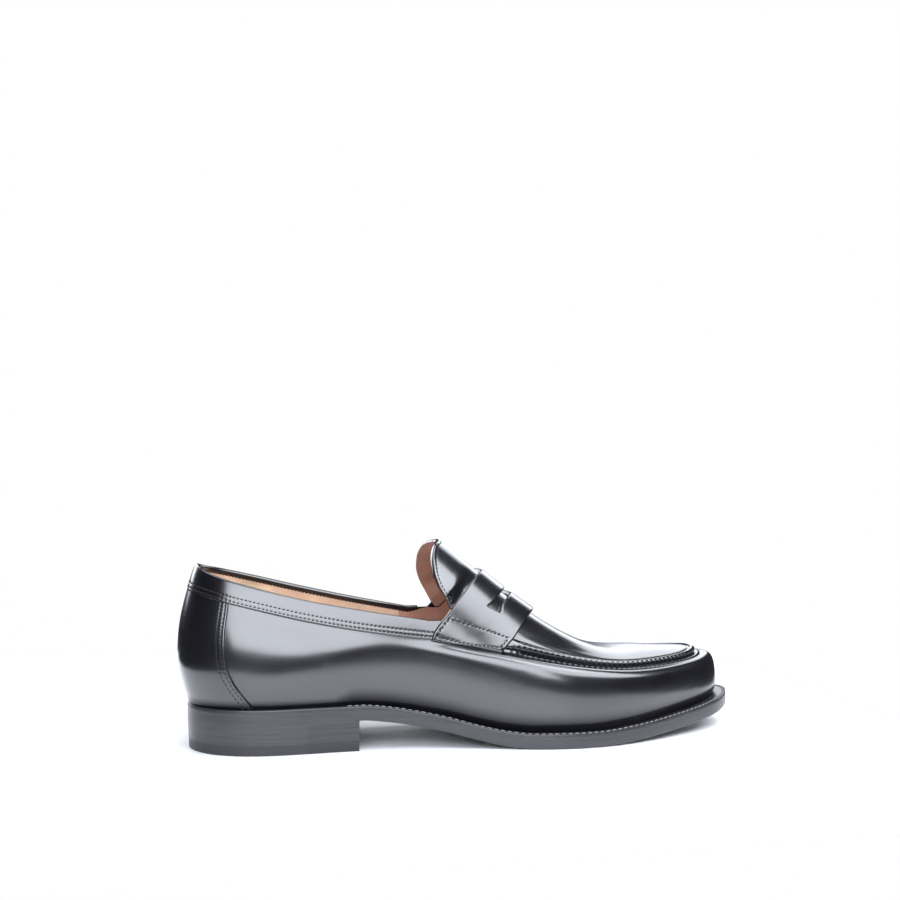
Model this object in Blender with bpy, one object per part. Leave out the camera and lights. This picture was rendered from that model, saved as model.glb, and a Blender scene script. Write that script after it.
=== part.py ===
"""A right penny loafer in black calf leather, on a welted leather sole with a stacked heel.

Frame: X runs along the shoe with the toe at +X, Y points to the wearer's left, which is the medial side of
a right shoe, and Z is up. The origin is the middle of the bounding box, on the floor.
Every size below is in millimetres, and MM turns it to metres.
"""

import math

import bpy
import numpy as np

MM = 0.001
GAP = 0.3  # clearance between two pieces that meet

# In the tables x is measured from the back of the heel block and y from the middle of the heel.
# The middle of the finished shoe's bounding box lies here.
ORIGIN_X = 144.2
ORIGIN_Y = 0.17

OUTSOLE_THICK = 4.6
WELT_THICK = 2.5
INSOLE_THICK = 2.7
HEEL_BREAST_X = 83.0
HEEL_UNDER_SOLE = 15.0
TOP_PIECE_THICK = 5.0
LIFT_COUNT = 3
BREAST_DEPTH = 1.5
BREAST_STEPS = 6
HEEL_TAPER = 0.8  # the heel narrows by this much on each side, from the sole to the floor
WELT_END_X = 76.0  # the stitched welt ends here, and the plain heel rand goes on round the back

UPPER_WALL = 2.2  # calf and its lining together
APRON_THICK = 1.3
APRON_BORDER = 3.2  # width of the raised border along the apron seam
APRON_BORDER_RISE = 0.8
TONGUE_THICK = 2.0
STRAP_THICK = 2.3
BAND_THICK = 0.9
BAND_TURN_IN = 3.0  # how far the collar band is folded down inside the topline
BAND_END_X = 119.0  # the band ends against the strap
COLLAR_LEAN = 4.6  # its end leans forward by this much, as the strap does
COUNTER_THICK = 0.8

STATIONS = 46  # sections on each side, from the middle of the heel to the middle of the toe
WALL_STEPS = 6
TOP_STEPS = 6
MERGE = 1e-4  # points nearer than this are one point


def section_table(columns, rows):
    """Named columns, with one row for each section from the back of the heel to the tip of the toe."""
    return dict(zip(columns.split(), np.array(rows, float).T))


# Outer edge of outsole and welt, seen from above.
SOLE_EDGE = section_table(
    "x lateral medial",
    [
        (0.0, 0.0, 0.0),
        (9.0, -21.6, 21.6),
        (31.0, -33.0, 32.6),
        (58.0, -33.6, 32.6),
        (88.0, -32.2, 30.2),
        (118.0, -34.4, 30.0),
        (150.0, -43.2, 36.0),
        (183.0, -51.2, 47.5),
        (216.0, -48.6, 52.0),
        (243.0, -38.6, 48.0),
        (265.6, -27.2, 39.8),
        (283.2, -14.2, 27.0),
        (293.4, 7.0, 7.0),
    ],
)

# Feather edge, where the upper goes down behind the welt.
FEATHER = section_table(
    "x lateral medial",
    [
        (1.8, 0.0, 0.0),
        (11.0, -19.6, 19.6),
        (32.0, -30.4, 30.0),
        (58.0, -31.0, 30.0),
        (88.0, -29.0, 27.0),
        (118.0, -30.4, 26.0),
        (150.0, -38.0, 31.0),
        (183.0, -45.4, 41.6),
        (214.0, -43.2, 46.2),
        (239.5, -34.0, 42.4),
        (260.4, -23.2, 35.2),
        (276.6, -11.4, 24.2),
        (286.0, 7.0, 7.0),
    ],
)

# Widest line of the upper above the feather edge.
WIDEST = section_table(
    "x lateral medial height",
    [
        (-3.9, 0.0, 0.0, 50.5),
        (6.0, -22.4, 22.4, 48.0),
        (31.0, -33.8, 33.0, 42.5),
        (58.0, -35.0, 33.8, 40.5),
        (88.0, -33.6, 31.2, 38.5),
        (118.0, -35.8, 31.6, 34.5),
        (150.0, -43.0, 37.0, 28.5),
        (183.0, -49.4, 46.4, 24.0),
        (215.0, -47.2, 50.2, 23.5),
        (241.0, -37.6, 46.2, 24.0),
        (262.4, -26.0, 38.2, 24.2),
        (278.2, -13.2, 26.0, 24.0),
        (287.3, 7.0, 7.0, 22.5),
    ],
)

# Style line: the lower edge of the collar band, then the bottom of the strap, then the apron seam.
STYLE_LINE = section_table(
    "x lateral medial height_lateral height_medial",
    [
        (1.0, 0.0, 0.0, 79.2, 79.2),
        (10.0, -19.2, 19.2, 76.2, 77.2),
        (32.0, -28.2, 27.8, 70.6, 72.2),
        (58.0, -30.4, 29.4, 64.2, 66.4),
        (88.0, -30.8, 28.8, 58.5, 60.6),
        (118.0, -32.4, 30.0, 54.4, 56.4),
        (150.0, -34.0, 32.6, 50.2, 51.6),
        (183.0, -34.8, 35.6, 42.6, 43.6),
        (214.0, -33.0, 37.4, 37.5, 38.2),
        (238.0, -26.8, 34.6, 36.8, 37.1),
        (255.4, -19.0, 28.6, 37.5, 37.6),
        (268.6, -9.2, 20.0, 38.6, 38.6),
        (274.5, 5.6, 5.6, 39.4, 39.4),
    ],
)

# Ridge of the last: its cone above the collar, then the instep, then the middle of the apron.
RIDGE = section_table(
    "x y height",
    [
        (30.0, 0.0, 115.0),
        (36.0, 0.0, 116.0),
        (48.0, 0.0, 116.0),
        (66.0, 0.0, 116.0),
        (90.0, 0.0, 117.0),
        (118.0, 1.0, 107.6),
        (150.0, 3.0, 82.9),
        (183.0, 5.0, 58.7),
        (214.0, 6.0, 43.4),
        (238.0, 6.0, 41.0),
        (255.4, 5.8, 40.5),
        (268.6, 5.6, 39.9),
        (274.5, 5.6, 39.4),
    ],
)

# Angles above the horizon at which the surface leaves the feather edge, reaches the style line and goes on.
SLOPES = section_table(
    "feather below_line above_line",
    [
        (72.0, 75.0, 75.0),
        (74.0, 76.0, 76.0),
        (70.0, 76.0, 76.0),
        (66.0, 77.0, 77.0),
        (64.0, 77.0, 77.0),
        (62.0, 73.0, 73.0),
        (60.0, 62.0, 62.0),
        (60.0, 46.0, 36.0),
        (60.0, 34.0, 17.0),
        (62.0, 30.0, 12.0),
        (64.0, 27.0, 9.0),
        (66.0, 24.0, 6.0),
        (66.0, 22.0, 4.0),
    ],
)

# Height of the free edge of the upper at each section, up to where the strap covers it.
TOPLINE = section_table(
    "lateral medial",
    [
        (91.2, 91.2),
        (86.7, 88.3),
        (80.3, 83.1),
        (73.8, 76.8),
        (68.2, 70.1),
        (63.2, 64.0),
    ],
)
COLLAR_END_X = 127.0  # from here the free edge climbs, hidden under the strap
THROAT_X = 156.0  # the upper closes over the instep here, still under the strap

# Underside of the outsole, from the side.
UNDERSIDE = section_table(
    "x height",
    [
        (0.0, 15.0),
        (84.0, 15.0),
        (98.0, 13.6),
        (112.0, 11.2),
        (127.0, 8.0),
        (141.0, 4.3),
        (155.0, 1.4),
        (170.0, 0.0),
        (200.0, 0.0),
        (220.0, 1.2),
        (240.0, 3.0),
        (257.0, 4.8),
        (268.0, 6.2),
        (281.0, 8.2),
        (294.0, 10.8),
    ],
)

# Tongue and apron meet under the strap, at this x on the style line and at that one on the ridge.
JOIN_X = (143.0, 166.0)
BENT_LIFT = 0.4  # tongue and apron clear the upper by this much, a little more than the gap because they bend
TONGUE_LOW_LEVEL = 0.12
# Free edge of the tongue, from the ridge down to where the strap covers it.
TONGUE_EDGE = section_table(
    "level x",
    [(0.12, 135.0), (0.2, 131.0), (0.27, 127.2), (0.35, 123.9), (0.42, 122.4), (0.52, 122.0), (0.7, 124.0), (0.88, 127.2), (1.0, 127.9)],
)

# Edges of the strap, from its bottom up to the ridge. On the medial side they stand a little further forward.
STRAP_EDGE = section_table(
    "up rear front medial_rear medial_front",
    [
        (0.0, 119.5, 153.4, 125.5, 157.4),
        (0.2, 125.3, 159.0, 130.6, 162.4),
        (0.4, 133.0, 165.0, 136.6, 167.2),
        (0.7, 144.0, 173.4, 145.2, 174.2),
        (0.88, 149.9, 177.6, 150.2, 177.8),
        (1.0, 151.4, 178.8, 151.4, 178.8),
    ],
)
STRAP_BELOW_LINE = (0.6, 4.8)  # how far it reaches below the style line, at its rear and at its front
STRAP_RAMP = 3.2  # the ends of the strap come down to the upper over this length
SLOT_HALF_LENGTH = 18.0
SLOT_HALF_WIDTH = 1.9
SLOT_END_HALF_WIDTH = 3.6
SLOT_END_LENGTH = 5.0

# Front edge of the heel counter, from the style line down to the feather edge.
COUNTER_EDGE = section_table(
    "down x", [(0.0, 19.4), (0.25, 19.2), (0.5, 19.8), (0.75, 23.6), (1.0, 31.6)]
)

BLACK_CALF = (0.012, 0.012, 0.015)
BLACK_EDGE = (0.03, 0.03, 0.034)
TAN_LEATHER = (0.42, 0.2, 0.09)
BLACK_RUBBER = (0.016, 0.016, 0.017)


def unit(vector):
    """Vectors of length one, along the last axis."""
    length = np.linalg.norm(vector, axis=-1, keepdims=True)
    return vector / np.maximum(length, 1e-9)


def loop_slopes(points):
    """Slopes that make a smooth closed curve through evenly numbered points."""
    count = len(points)
    system = 4 * np.eye(count) + np.roll(np.eye(count), 1, 0) + np.roll(np.eye(count), -1, 0)
    ahead, behind = np.roll(points, -1, 0), np.roll(points, 1, 0)
    return np.linalg.solve(system, 3 * (ahead - behind))


def hermite(start, end, slope_start, slope_end, at):
    """Point at share `at` of a cubic piece."""
    at = np.asarray(at, float)[..., None]
    return (
        (2 * at**3 - 3 * at**2 + 1) * start
        + (at**3 - 2 * at**2 + at) * slope_start
        + (3 * at**2 - 2 * at**3) * end
        + (at**3 - at**2) * slope_end
    )


class LoopCurve:
    """Smooth closed curve through the rows of a table: up the lateral side and back down the medial one."""

    def __init__(self, lateral, medial):
        self.points = np.vstack([lateral, medial[-2:0:-1]])
        self.slopes = loop_slopes(self.points)
        self.last_row = len(lateral) - 1

    def at(self, side, row):
        """Points at fractional rows, on the lateral side for side -1 and on the medial one for +1."""
        count = len(self.points)
        row = np.asarray(row, float)
        place = (row if side < 0 else 2 * self.last_row - row) % count
        index = np.floor(place).astype(int) % count
        after = (index + 1) % count
        return hermite(
            self.points[index], self.points[after], self.slopes[index], self.slopes[after], place - np.floor(place)
        )

    def outward(self, side, row):
        """Level direction away from the shoe, square to the curve."""
        step = 1e-3
        along = self.at(side, np.asarray(row) + step) - self.at(side, np.asarray(row) - step)
        square = np.stack([along[..., 1], -along[..., 0], np.zeros_like(along[..., 0])], -1)
        return unit(square if side < 0 else -square)


def smooth_profile(table_x, table_y, x):
    """Smooth curve through a table that keeps level stretches level."""
    gaps = np.diff(table_x)
    rise = np.diff(table_y) / gaps
    slopes = np.zeros_like(table_y)
    for i in range(1, len(table_x) - 1):
        if rise[i - 1] * rise[i] > 0:
            slopes[i] = 2 * rise[i - 1] * rise[i] / (rise[i - 1] + rise[i])
    slopes[-1] = rise[-1]
    x = np.clip(np.asarray(x, float), table_x[0], table_x[-1])
    i = np.clip(np.searchsorted(table_x, x, "right") - 1, 0, len(gaps) - 1)
    share = (x - table_x[i]) / gaps[i]
    piece = hermite(
        table_y[i][..., None],
        table_y[i + 1][..., None],
        (slopes[i] * gaps[i])[..., None],
        (slopes[i + 1] * gaps[i])[..., None],
        share,
    )
    return piece[..., 0]


def underside_height(x):
    return smooth_profile(UNDERSIDE["x"], UNDERSIDE["height"], x)


def welt_top_height(x):
    return underside_height(x) + OUTSOLE_THICK + GAP + WELT_THICK


def loop_of(table, heights):
    """Closed curve of a table with x, lateral and medial columns, and its heights on the two sides."""
    sides = [
        np.stack([table["x"], table[name], height], 1) for name, height in zip(("lateral", "medial"), heights)
    ]
    return LoopCurve(*sides)


def shared_loop(columns):
    """Closed curve of values that are the same on both sides."""
    rows = np.stack(columns, 1)
    return LoopCurve(rows, rows)


sole_edge = loop_of(SOLE_EDGE, [underside_height(SOLE_EDGE["x"])] * 2)
feather_line = loop_of(FEATHER, [welt_top_height(FEATHER["x"])] * 2)
widest_line = loop_of(WIDEST, [WIDEST["height"]] * 2)
style_line = loop_of(STYLE_LINE, [STYLE_LINE["height_lateral"], STYLE_LINE["height_medial"]])
ridge_line = shared_loop([RIDGE["x"], RIDGE["y"], RIDGE["height"]])
slope_angles = shared_loop([np.radians(SLOPES[name]) for name in ("feather", "below_line", "above_line")])
LAST_ROW = len(RIDGE["x"]) - 1


def feather_point(side, row):
    point = feather_line.at(side, row)
    point[..., 2] = welt_top_height(point[..., 0])
    return point


def leaning(outward, angle):
    """Direction that climbs at an angle and leans outward."""
    angle = np.asarray(angle)[..., None]
    return np.cos(angle) * outward + np.sin(angle) * np.array([0.0, 0.0, 1.0])


def wall_point(side, row, level):
    """The last below the style line: level 0 is the feather edge and 1 the style line."""
    row, level = np.broadcast_arrays(np.asarray(row, float), np.asarray(level, float))
    bottom, middle, top = feather_point(side, row), widest_line.at(side, row), style_line.at(side, row)
    outward = widest_line.outward(side, row)
    angles = slope_angles.at(side, row)
    leave = leaning(outward, angles[..., 0])
    reach = leaning(-outward, angles[..., 1])
    low = np.linalg.norm(middle - bottom, axis=-1)[..., None]
    high = np.linalg.norm(top - middle, axis=-1)[..., None]
    pull = 3 * ((middle - bottom) / low**2 + (top - middle) / high**2) - leave / low - reach / high
    through = pull / (2 / low + 2 / high)
    share = (low / (low + high))[..., 0]
    under = level <= share
    first = hermite(bottom, middle, leave * low, through * low, np.clip(level / share, 0, 1))
    second = hermite(middle, top, through * high, reach * high, np.clip((level - share) / (1 - share), 0, 1))
    return np.where(under[..., None], first, second)


def crown_point(side, row, level):
    """The last above the style line: level 0 is the style line and 1 the ridge."""
    row, level = np.broadcast_arrays(np.asarray(row, float), np.asarray(level, float))
    start, end = style_line.at(side, row), ridge_line.at(-1, row)
    across = (end - start) * np.array([1.0, 1.0, 0.0])
    inward = unit(across)
    angle = slope_angles.at(side, row)[..., 2]
    span = np.linalg.norm(end - start, axis=-1)[..., None]
    width = np.linalg.norm(across, axis=-1)[..., None]
    rising = start + 0.42 * span * leaning(inward, angle)
    level_off = end - 0.55 * width * inward
    at = level[..., None]
    rest = 1 - at
    return rest**3 * start + 3 * rest**2 * at * rising + 3 * rest * at**2 * level_off + at**3 * end


def last_point(side, row, level):
    """The last: level -1 is the feather edge, 0 the style line and 1 the ridge."""
    row, level = np.broadcast_arrays(np.asarray(row, float), np.asarray(level, float))
    below = wall_point(side, row, np.clip(level + 1, 0, 1))
    above = crown_point(side, row, np.clip(level, 0, 1))
    return np.where((level < 0)[..., None], below, above)


def last_normal(side, row, level):
    """Outward direction, square to the last."""
    row, level = np.broadcast_arrays(np.asarray(row, float), np.asarray(level, float))
    step = 1e-3
    row_mid = np.clip(row, step, LAST_ROW - 0.03)
    high = np.where(level < 0, np.minimum(level + step, -1e-6), np.minimum(level + step, 1.0))
    low = np.where(level < 0, np.maximum(level - step, -1.0), np.maximum(level - step, 0.0))
    along = last_point(side, row_mid + step, level) - last_point(side, row_mid - step, level)
    up = last_point(side, row_mid, high) - last_point(side, row_mid, low)
    normal = unit(np.cross(along, up) * -side)
    slope = ridge_line.at(-1, row_mid + step) - ridge_line.at(-1, row_mid - step)
    on_ridge = unit(np.cross(slope, np.array([0.0, 1.0, 0.0])))
    return np.where((level > 1 - 1e-6)[..., None], on_ridge, normal)


def lifted(side, row, level, height):
    """Point at a height above the last, or under it where the height is negative."""
    height = np.broadcast_to(height, np.broadcast(row, level).shape)
    return last_point(side, row, level) + height[..., None] * last_normal(side, row, level)


FINE_ROWS = np.linspace(0, LAST_ROW, 441)
FINE_X = style_line.at(-1, FINE_ROWS)[:, 0]


def row_at(x):
    """Row whose place on the style line is x along the shoe."""
    return np.interp(x, FINE_X, FINE_ROWS)


def topline_level(side, row):
    """Level of the upper's free edge: the topline, then a curve that closes over the instep."""
    heights = TOPLINE["lateral" if side < 0 else "medial"]
    levels = np.linspace(0, 1, 101)
    collar_row, throat_row = row_at(COLLAR_END_X), row_at(THROAT_X)

    def level_at(r):
        climb = crown_point(side, np.full(101, r), levels)[:, 2]
        wanted = smooth_profile(np.arange(len(heights), dtype=float), heights, r)
        return np.interp(wanted, climb, levels)

    def one(r):
        if r <= collar_row:
            return level_at(r)
        share = min((r - collar_row) / (throat_row - collar_row), 1.0)
        start = level_at(collar_row)
        return start + (1 - start) * share**2 * (3 - 2 * share)

    return np.array([one(r) for r in np.atleast_1d(row)])


def station_rows():
    """Rows of the sections. The ends of the collar and of the throat are on one each."""
    rows = np.linspace(0, LAST_ROW, STATIONS + 1)
    for x in (COLLAR_END_X, THROAT_X):
        rows[np.abs(rows - row_at(x)).argmin()] = row_at(x)
    return rows


def material(name, colour, roughness):
    made = bpy.data.materials.new(name)
    made.use_nodes = True
    shader = made.node_tree.nodes["Principled BSDF"]
    shader.inputs["Base Color"].default_value = (*colour, 1.0)
    shader.inputs["Roughness"].default_value = roughness
    shader.inputs["Metallic"].default_value = 0.0
    made.diffuse_color = (*colour, 1.0)
    return made


def enclosed_volume(points, faces):
    """Volume inside closed faces. It is negative where they face inward."""
    total = 0.0
    for face in faces:
        for i in range(1, len(face) - 1):
            total += np.dot(points[face[0]], np.cross(points[face[i]], points[face[i + 1]])) / 6
    return total


def add_object(name, points, faces, surface):
    """One object from points in millimetres. Points that coincide are joined, and flat faces are dropped."""
    points = np.asarray(points, float).reshape(-1, 3)
    _, first, index = np.unique(np.round(points / MERGE), axis=0, return_index=True, return_inverse=True)
    index = index.reshape(-1)
    kept = []
    for face in faces:
        corners = [index[i] for i in face]
        corners = [c for i, c in enumerate(corners) if c != corners[i - 1]]
        if len(corners) > 2:
            kept.append(corners)
    points = (points[first] - (ORIGIN_X, ORIGIN_Y, 0.0)) * MM
    if enclosed_volume(points, kept) < 0:
        kept = [corners[::-1] for corners in kept]
    mesh = bpy.data.meshes.new(name)
    mesh.from_pydata(points.tolist(), [], kept)
    mesh.materials.append(surface)
    mesh.shade_smooth()
    mesh.set_sharp_from_angle(angle=math.radians(40))
    mesh.update()
    made = bpy.data.objects.new(name, mesh)
    bpy.context.scene.collection.objects.link(made)
    return made


def grid_faces(rows, columns, start=0, flip=False):
    """Quads of a grid whose points are numbered row by row."""
    faces = []
    for r in range(rows - 1):
        for c in range(columns - 1):
            a = start + r * columns + c
            quad = (a, a + columns, a + columns + 1, a + 1)
            faces.append(quad[::-1] if flip else quad)
    return faces


def slab(name, outer, inner, surface, holes=()):
    """Solid between two grids of the same size. Cells named in holes are left open right through."""
    rows, columns = outer.shape[:2]
    count = rows * columns
    open_cells = set(holes)
    faces, edges = [], {}
    for r in range(rows - 1):
        for c in range(columns - 1):
            if (r, c) in open_cells:
                continue
            a = r * columns + c
            quad = (a, a + columns, a + columns + 1, a + 1)
            faces.append(quad)
            faces.append(tuple(i + count for i in reversed(quad)))
            for i in range(4):
                edges[(quad[i], quad[(i + 1) % 4])] = True
    for a, b in edges:
        if (b, a) not in edges:
            faces.append((b, a, a + count, b + count))
    return add_object(name, np.concatenate([outer.reshape(-1, 3), inner.reshape(-1, 3)]), faces, surface)


def sweep(name, sections, surface):
    """Solid through closed cross-sections, with a flat cap at each end."""
    count, corners = sections.shape[:2]
    faces = []
    for s in range(count - 1):
        for c in range(corners):
            d = (c + 1) % corners
            faces.append((s * corners + c, s * corners + d, (s + 1) * corners + d, (s + 1) * corners + c))
    faces.append(tuple(reversed(range(corners))))
    faces.append(tuple(range((count - 1) * corners, count * corners)))
    return add_object(name, sections, faces, surface)


def chords(edge, height, steps, rows):
    """Grid of points across a closed outline, from its lateral side to its medial one."""
    lateral, medial = edge(-1, rows), edge(1, rows)
    share = np.linspace(0, 1, steps + 1)[None, :, None]
    grid = lateral[:, None] * (1 - share) + medial[:, None] * share
    grid[..., 2] = height(grid[..., 0])
    return grid


def whole_loop(rows):
    """Sides and rows of a line that starts at one row, goes round the other end and comes back."""
    return [(-1, row) for row in rows] + [(1, row) for row in rows[-2::-1]]


def make_outsole(surface):
    rows = station_rows()
    flat = [row_of_edge(x) for x in (84.0, 170.0, 200.0)]
    rows = np.unique(np.round(np.concatenate([rows, flat]), 6))
    top = chords(sole_edge.at, lambda x: underside_height(x) + OUTSOLE_THICK, 2, rows)
    bottom = chords(sole_edge.at, underside_height, 2, rows)
    return slab("outsole", top, bottom, surface)


def row_of_edge(x):
    """Row at which the sole's edge is x along the shoe."""
    return np.interp(x, sole_edge.at(-1, FINE_ROWS)[:, 0], FINE_ROWS)


def welt_section(side, row):
    """Cross-section of the strip between the upper and the edge of the sole."""
    outer = sole_edge.at(side, row)
    inner = feather_line.at(side, row) + GAP * feather_line.outward(side, row)
    corners = []
    for point, lift in ((inner, 0.0), (outer, 0.0), (outer, WELT_THICK), (inner, WELT_THICK)):
        x, y = point[:2]
        corners.append((x, y, float(underside_height(x)) + OUTSOLE_THICK + GAP + lift))
    return corners


def make_welt(surface):
    start = row_of_edge(WELT_END_X)
    rows = np.concatenate([[start], [r for r in station_rows() if r > start + 0.1]])
    sections = [welt_section(side, row)[::-1] for side, row in whole_loop(rows)]
    return sweep("welt", np.array(sections), surface)


def make_heel_rand(surface):
    end = row_of_edge(WELT_END_X - GAP)
    rows = np.concatenate([[r for r in station_rows() if r < end - 0.1], [end]])[::-1]
    sections = [welt_section(side, row) for side, row in whole_loop(rows)]
    return sweep("heel_rand", np.array(sections), surface)


def heel_outline(inset):
    """Outline of the heel block, drawn in by an inset, with a breast that curves a little inward."""
    breast_row = row_of_edge(HEEL_BREAST_X)
    stations = station_rows()
    rows = np.concatenate([[breast_row], stations[stations < breast_row - 0.1][::-1]])
    points = []
    for side, row in whole_loop(rows):
        point = sole_edge.at(side, row) - inset * sole_edge.outward(side, row)
        points.append(point[:2])
    points = np.array(points)
    points[[0, -1], 0] = HEEL_BREAST_X
    share = np.linspace(0, 1, BREAST_STEPS + 1)[1:-1]
    breast_y = points[-1, 1] + (points[0, 1] - points[-1, 1]) * share
    breast_x = HEEL_BREAST_X - BREAST_DEPTH * 4 * share * (1 - share)
    return np.vstack([points, np.stack([breast_x, breast_y], 1)])


def make_heel_piece(name, low, high, surface):
    sections = []
    for z in (low, high):
        outline = heel_outline(HEEL_TAPER * (1 - z / HEEL_UNDER_SOLE))
        sections.append(np.column_stack([outline, np.full(len(outline), z)]))
    return sweep(name, np.array(sections), surface)


def make_heel(lift_surface, rubber):
    make_heel_piece("heel_top_piece", 0.0, TOP_PIECE_THICK, rubber)
    room = HEEL_UNDER_SOLE - TOP_PIECE_THICK
    for number in range(LIFT_COUNT):
        low = TOP_PIECE_THICK + room * number / LIFT_COUNT + GAP
        high = TOP_PIECE_THICK + room * (number + 1) / LIFT_COUNT
        high -= GAP if number == LIFT_COUNT - 1 else 0.0
        make_heel_piece(f"heel_lift_{number + 1}", low, high, lift_surface)


def make_insole(surface):
    inset = UPPER_WALL + GAP

    def edge(side, rows):
        return feather_line.at(side, rows) - inset * feather_line.outward(side, rows)

    base = OUTSOLE_THICK + GAP
    rows = station_rows()
    top = chords(edge, lambda x: underside_height(x) + base + INSOLE_THICK, 2, rows)
    bottom = chords(edge, lambda x: underside_height(x) + base, 2, rows)
    return slab("insole", top, bottom, surface)


def upper_outer():
    """Outer face of the upper, as points and quads: up the wall, then to the free edge or over the instep."""
    rows = station_rows()
    points, faces = [], []
    for side in (-1, 1):
        free = topline_level(side, rows)
        grid = []
        for row, edge in zip(rows, free):
            wall = wall_point(side, np.full(WALL_STEPS + 1, row), np.linspace(0, 1, WALL_STEPS + 1))
            crown = crown_point(side, np.full(TOP_STEPS, row), edge * np.arange(1, TOP_STEPS + 1) / TOP_STEPS)
            hem = wall[:1].copy()
            hem[0, 2] = underside_height(hem[0, 0]) + OUTSOLE_THICK + GAP
            grid.append(np.concatenate([hem, wall, crown]))
        grid = np.array(grid)
        faces += grid_faces(len(rows), grid.shape[1], len(points), flip=side > 0)
        points += list(grid.reshape(-1, 3))
    return np.array(points), faces


def joined(points, faces):
    """The same surface with coinciding points made one and flat faces dropped."""
    _, first, index = np.unique(np.round(points / MERGE), axis=0, return_index=True, return_inverse=True)
    index = index.reshape(-1)
    kept = []
    for face in faces:
        corners = [int(index[i]) for i in face]
        corners = [c for i, c in enumerate(corners) if c != corners[i - 1]]
        if len(corners) > 2:
            kept.append(tuple(corners))
    return points[first], kept


def point_normals(points, faces):
    """Outward direction at each point, from the faces around it."""
    normals = np.zeros_like(points)
    for face in faces:
        for i, corner in enumerate(face):
            a, b = points[face[i - 1]], points[face[(i + 1) % len(face)]]
            square = np.cross(b - points[corner], a - points[corner])
            normals[corner] += square / max(np.linalg.norm(square), 1e-9)
    return unit(normals)


def make_upper(surface):
    points, faces = joined(*upper_outer())
    normals = point_normals(points, faces)
    inner = points - UPPER_WALL * normals
    hem = np.isclose(points[:, 2], underside_height(points[:, 0]) + OUTSOLE_THICK + GAP, atol=1e-6)
    level = normals[hem] * (1.0, 1.0, 0.0)
    inner[hem] = points[hem] - UPPER_WALL * unit(level)
    inner[hem, 2] = underside_height(inner[hem, 0]) + OUTSOLE_THICK + GAP
    count = len(points)
    edges = {(f[i], f[(i + 1) % len(f)]) for f in faces for i in range(len(f))}
    solid = list(faces) + [tuple(i + count for i in reversed(f)) for f in faces]
    solid += [(b, a, a + count, b + count) for a, b in edges if (b, a) not in edges]
    return add_object("upper", np.concatenate([points, inner]), solid, surface)


def across_levels(lowest, steps):
    """Sides and levels of a line over the ridge, from the lateral edge to the medial one."""
    shares = np.concatenate([np.linspace(1, 0, steps + 1), np.linspace(0, 1, steps + 1)[1:]])
    sides = [-1] * (steps + 1) + [1] * steps
    return [(side, 1 - share * (1 - lowest)) for side, share in zip(sides, shares)]


def join_row(level):
    """Row at which the tongue ends and the apron begins, for a level above the style line."""
    return row_at(JOIN_X[0] + (JOIN_X[1] - JOIN_X[0]) * level)


def make_apron(surface):
    """Plug of the apron, with a raised border along its seam in front of the strap."""
    blend_row = station_rows()[station_rows() > row_at(STRAP_EDGE["front"][-1])][0]
    stations = station_rows()[station_rows() > blend_row]
    crown = np.arange(1, TOP_STEPS + 1) / TOP_STEPS
    outer, inner = [], []
    for share in np.concatenate([np.linspace(0, 1, 5), 1 + np.arange(1, len(stations) + 1)]):
        line_out, line_in = [], []
        for side in (-1, 1):
            at_line = stations[int(share) - 2] if share > 1 else blend_row
            span = np.linalg.norm(ridge_line.at(-1, at_line) - style_line.at(side, at_line))
            border = min(APRON_BORDER / max(span, 1e-6), 0.4 / TOP_STEPS * 2)
            levels = np.concatenate([[0.0, border * 0.5, border], crown[crown > border + 0.02]])
            levels = np.concatenate([levels, np.full(TOP_STEPS + 3 - len(levels), 1.0)])
            start = join_row(levels) + (GAP / 10)
            rows = np.full(len(levels), at_line) if share > 1 else start + (blend_row - start) * share
            rise = np.where(np.arange(len(levels)) == 1, APRON_BORDER_RISE * np.clip(share * 1.6 - 0.6, 0, 1), 0.0)
            out = lifted(side, rows, levels, BENT_LIFT + APRON_THICK + rise)
            low = lifted(side, rows, levels, np.full(len(levels), BENT_LIFT))
            if side > 0:
                out, low = out[::-1][1:], low[::-1][1:]
            line_out.append(out)
            line_in.append(low)
        outer.append(np.concatenate(line_out))
        inner.append(np.concatenate(line_in))
    return slab("apron", np.array(outer), np.array(inner), surface)


def make_tongue(surface):
    """Tongue over the instep, from its free edge to the apron under the strap."""
    down = np.array([0.12, 0.2, 0.28, 0.36, 0.45, 0.56, 0.68, 0.8, 0.91])
    lines = [(-1, level) for level in down] + [(-1, 1.0)] + [(1, level) for level in down[::-1]]
    outer, inner = [], []
    for side, level in lines:
        free = row_at(smooth_profile(TONGUE_EDGE["level"], TONGUE_EDGE["x"], level))
        rows = free + (join_row(level) - 0.03 - free) * np.linspace(0, 1, 6)
        levels = np.full(len(rows), level)
        outer.append(lifted(side, rows, levels, BENT_LIFT + TONGUE_THICK))
        inner.append(lifted(side, rows, levels, BENT_LIFT))
    return slab("tongue", np.array(outer), np.array(inner), surface)


def strap_point(share, across, height):
    """Point of the strap: share -1 is its lateral bottom and +1 its medial one, across 0 its rear edge."""
    side = -1 if share <= 0 else 1
    up = 1 - abs(share)
    names = ("rear", "front") if side < 0 else ("medial_rear", "medial_front")
    rear, front = (smooth_profile(STRAP_EDGE["up"], STRAP_EDGE[name], up) for name in names)
    row = row_at(rear + (front - rear) * across)
    below = STRAP_BELOW_LINE[0] + (STRAP_BELOW_LINE[1] - STRAP_BELOW_LINE[0]) * across
    wall = np.linalg.norm(style_line.at(side, row) - feather_point(side, row))
    arch = np.linalg.norm(ridge_line.at(-1, row) - style_line.at(side, row))
    climb = up * (arch + below) - below
    level = climb / arch if climb > 0 else climb / wall
    return lifted(side, row, level, height)


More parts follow.
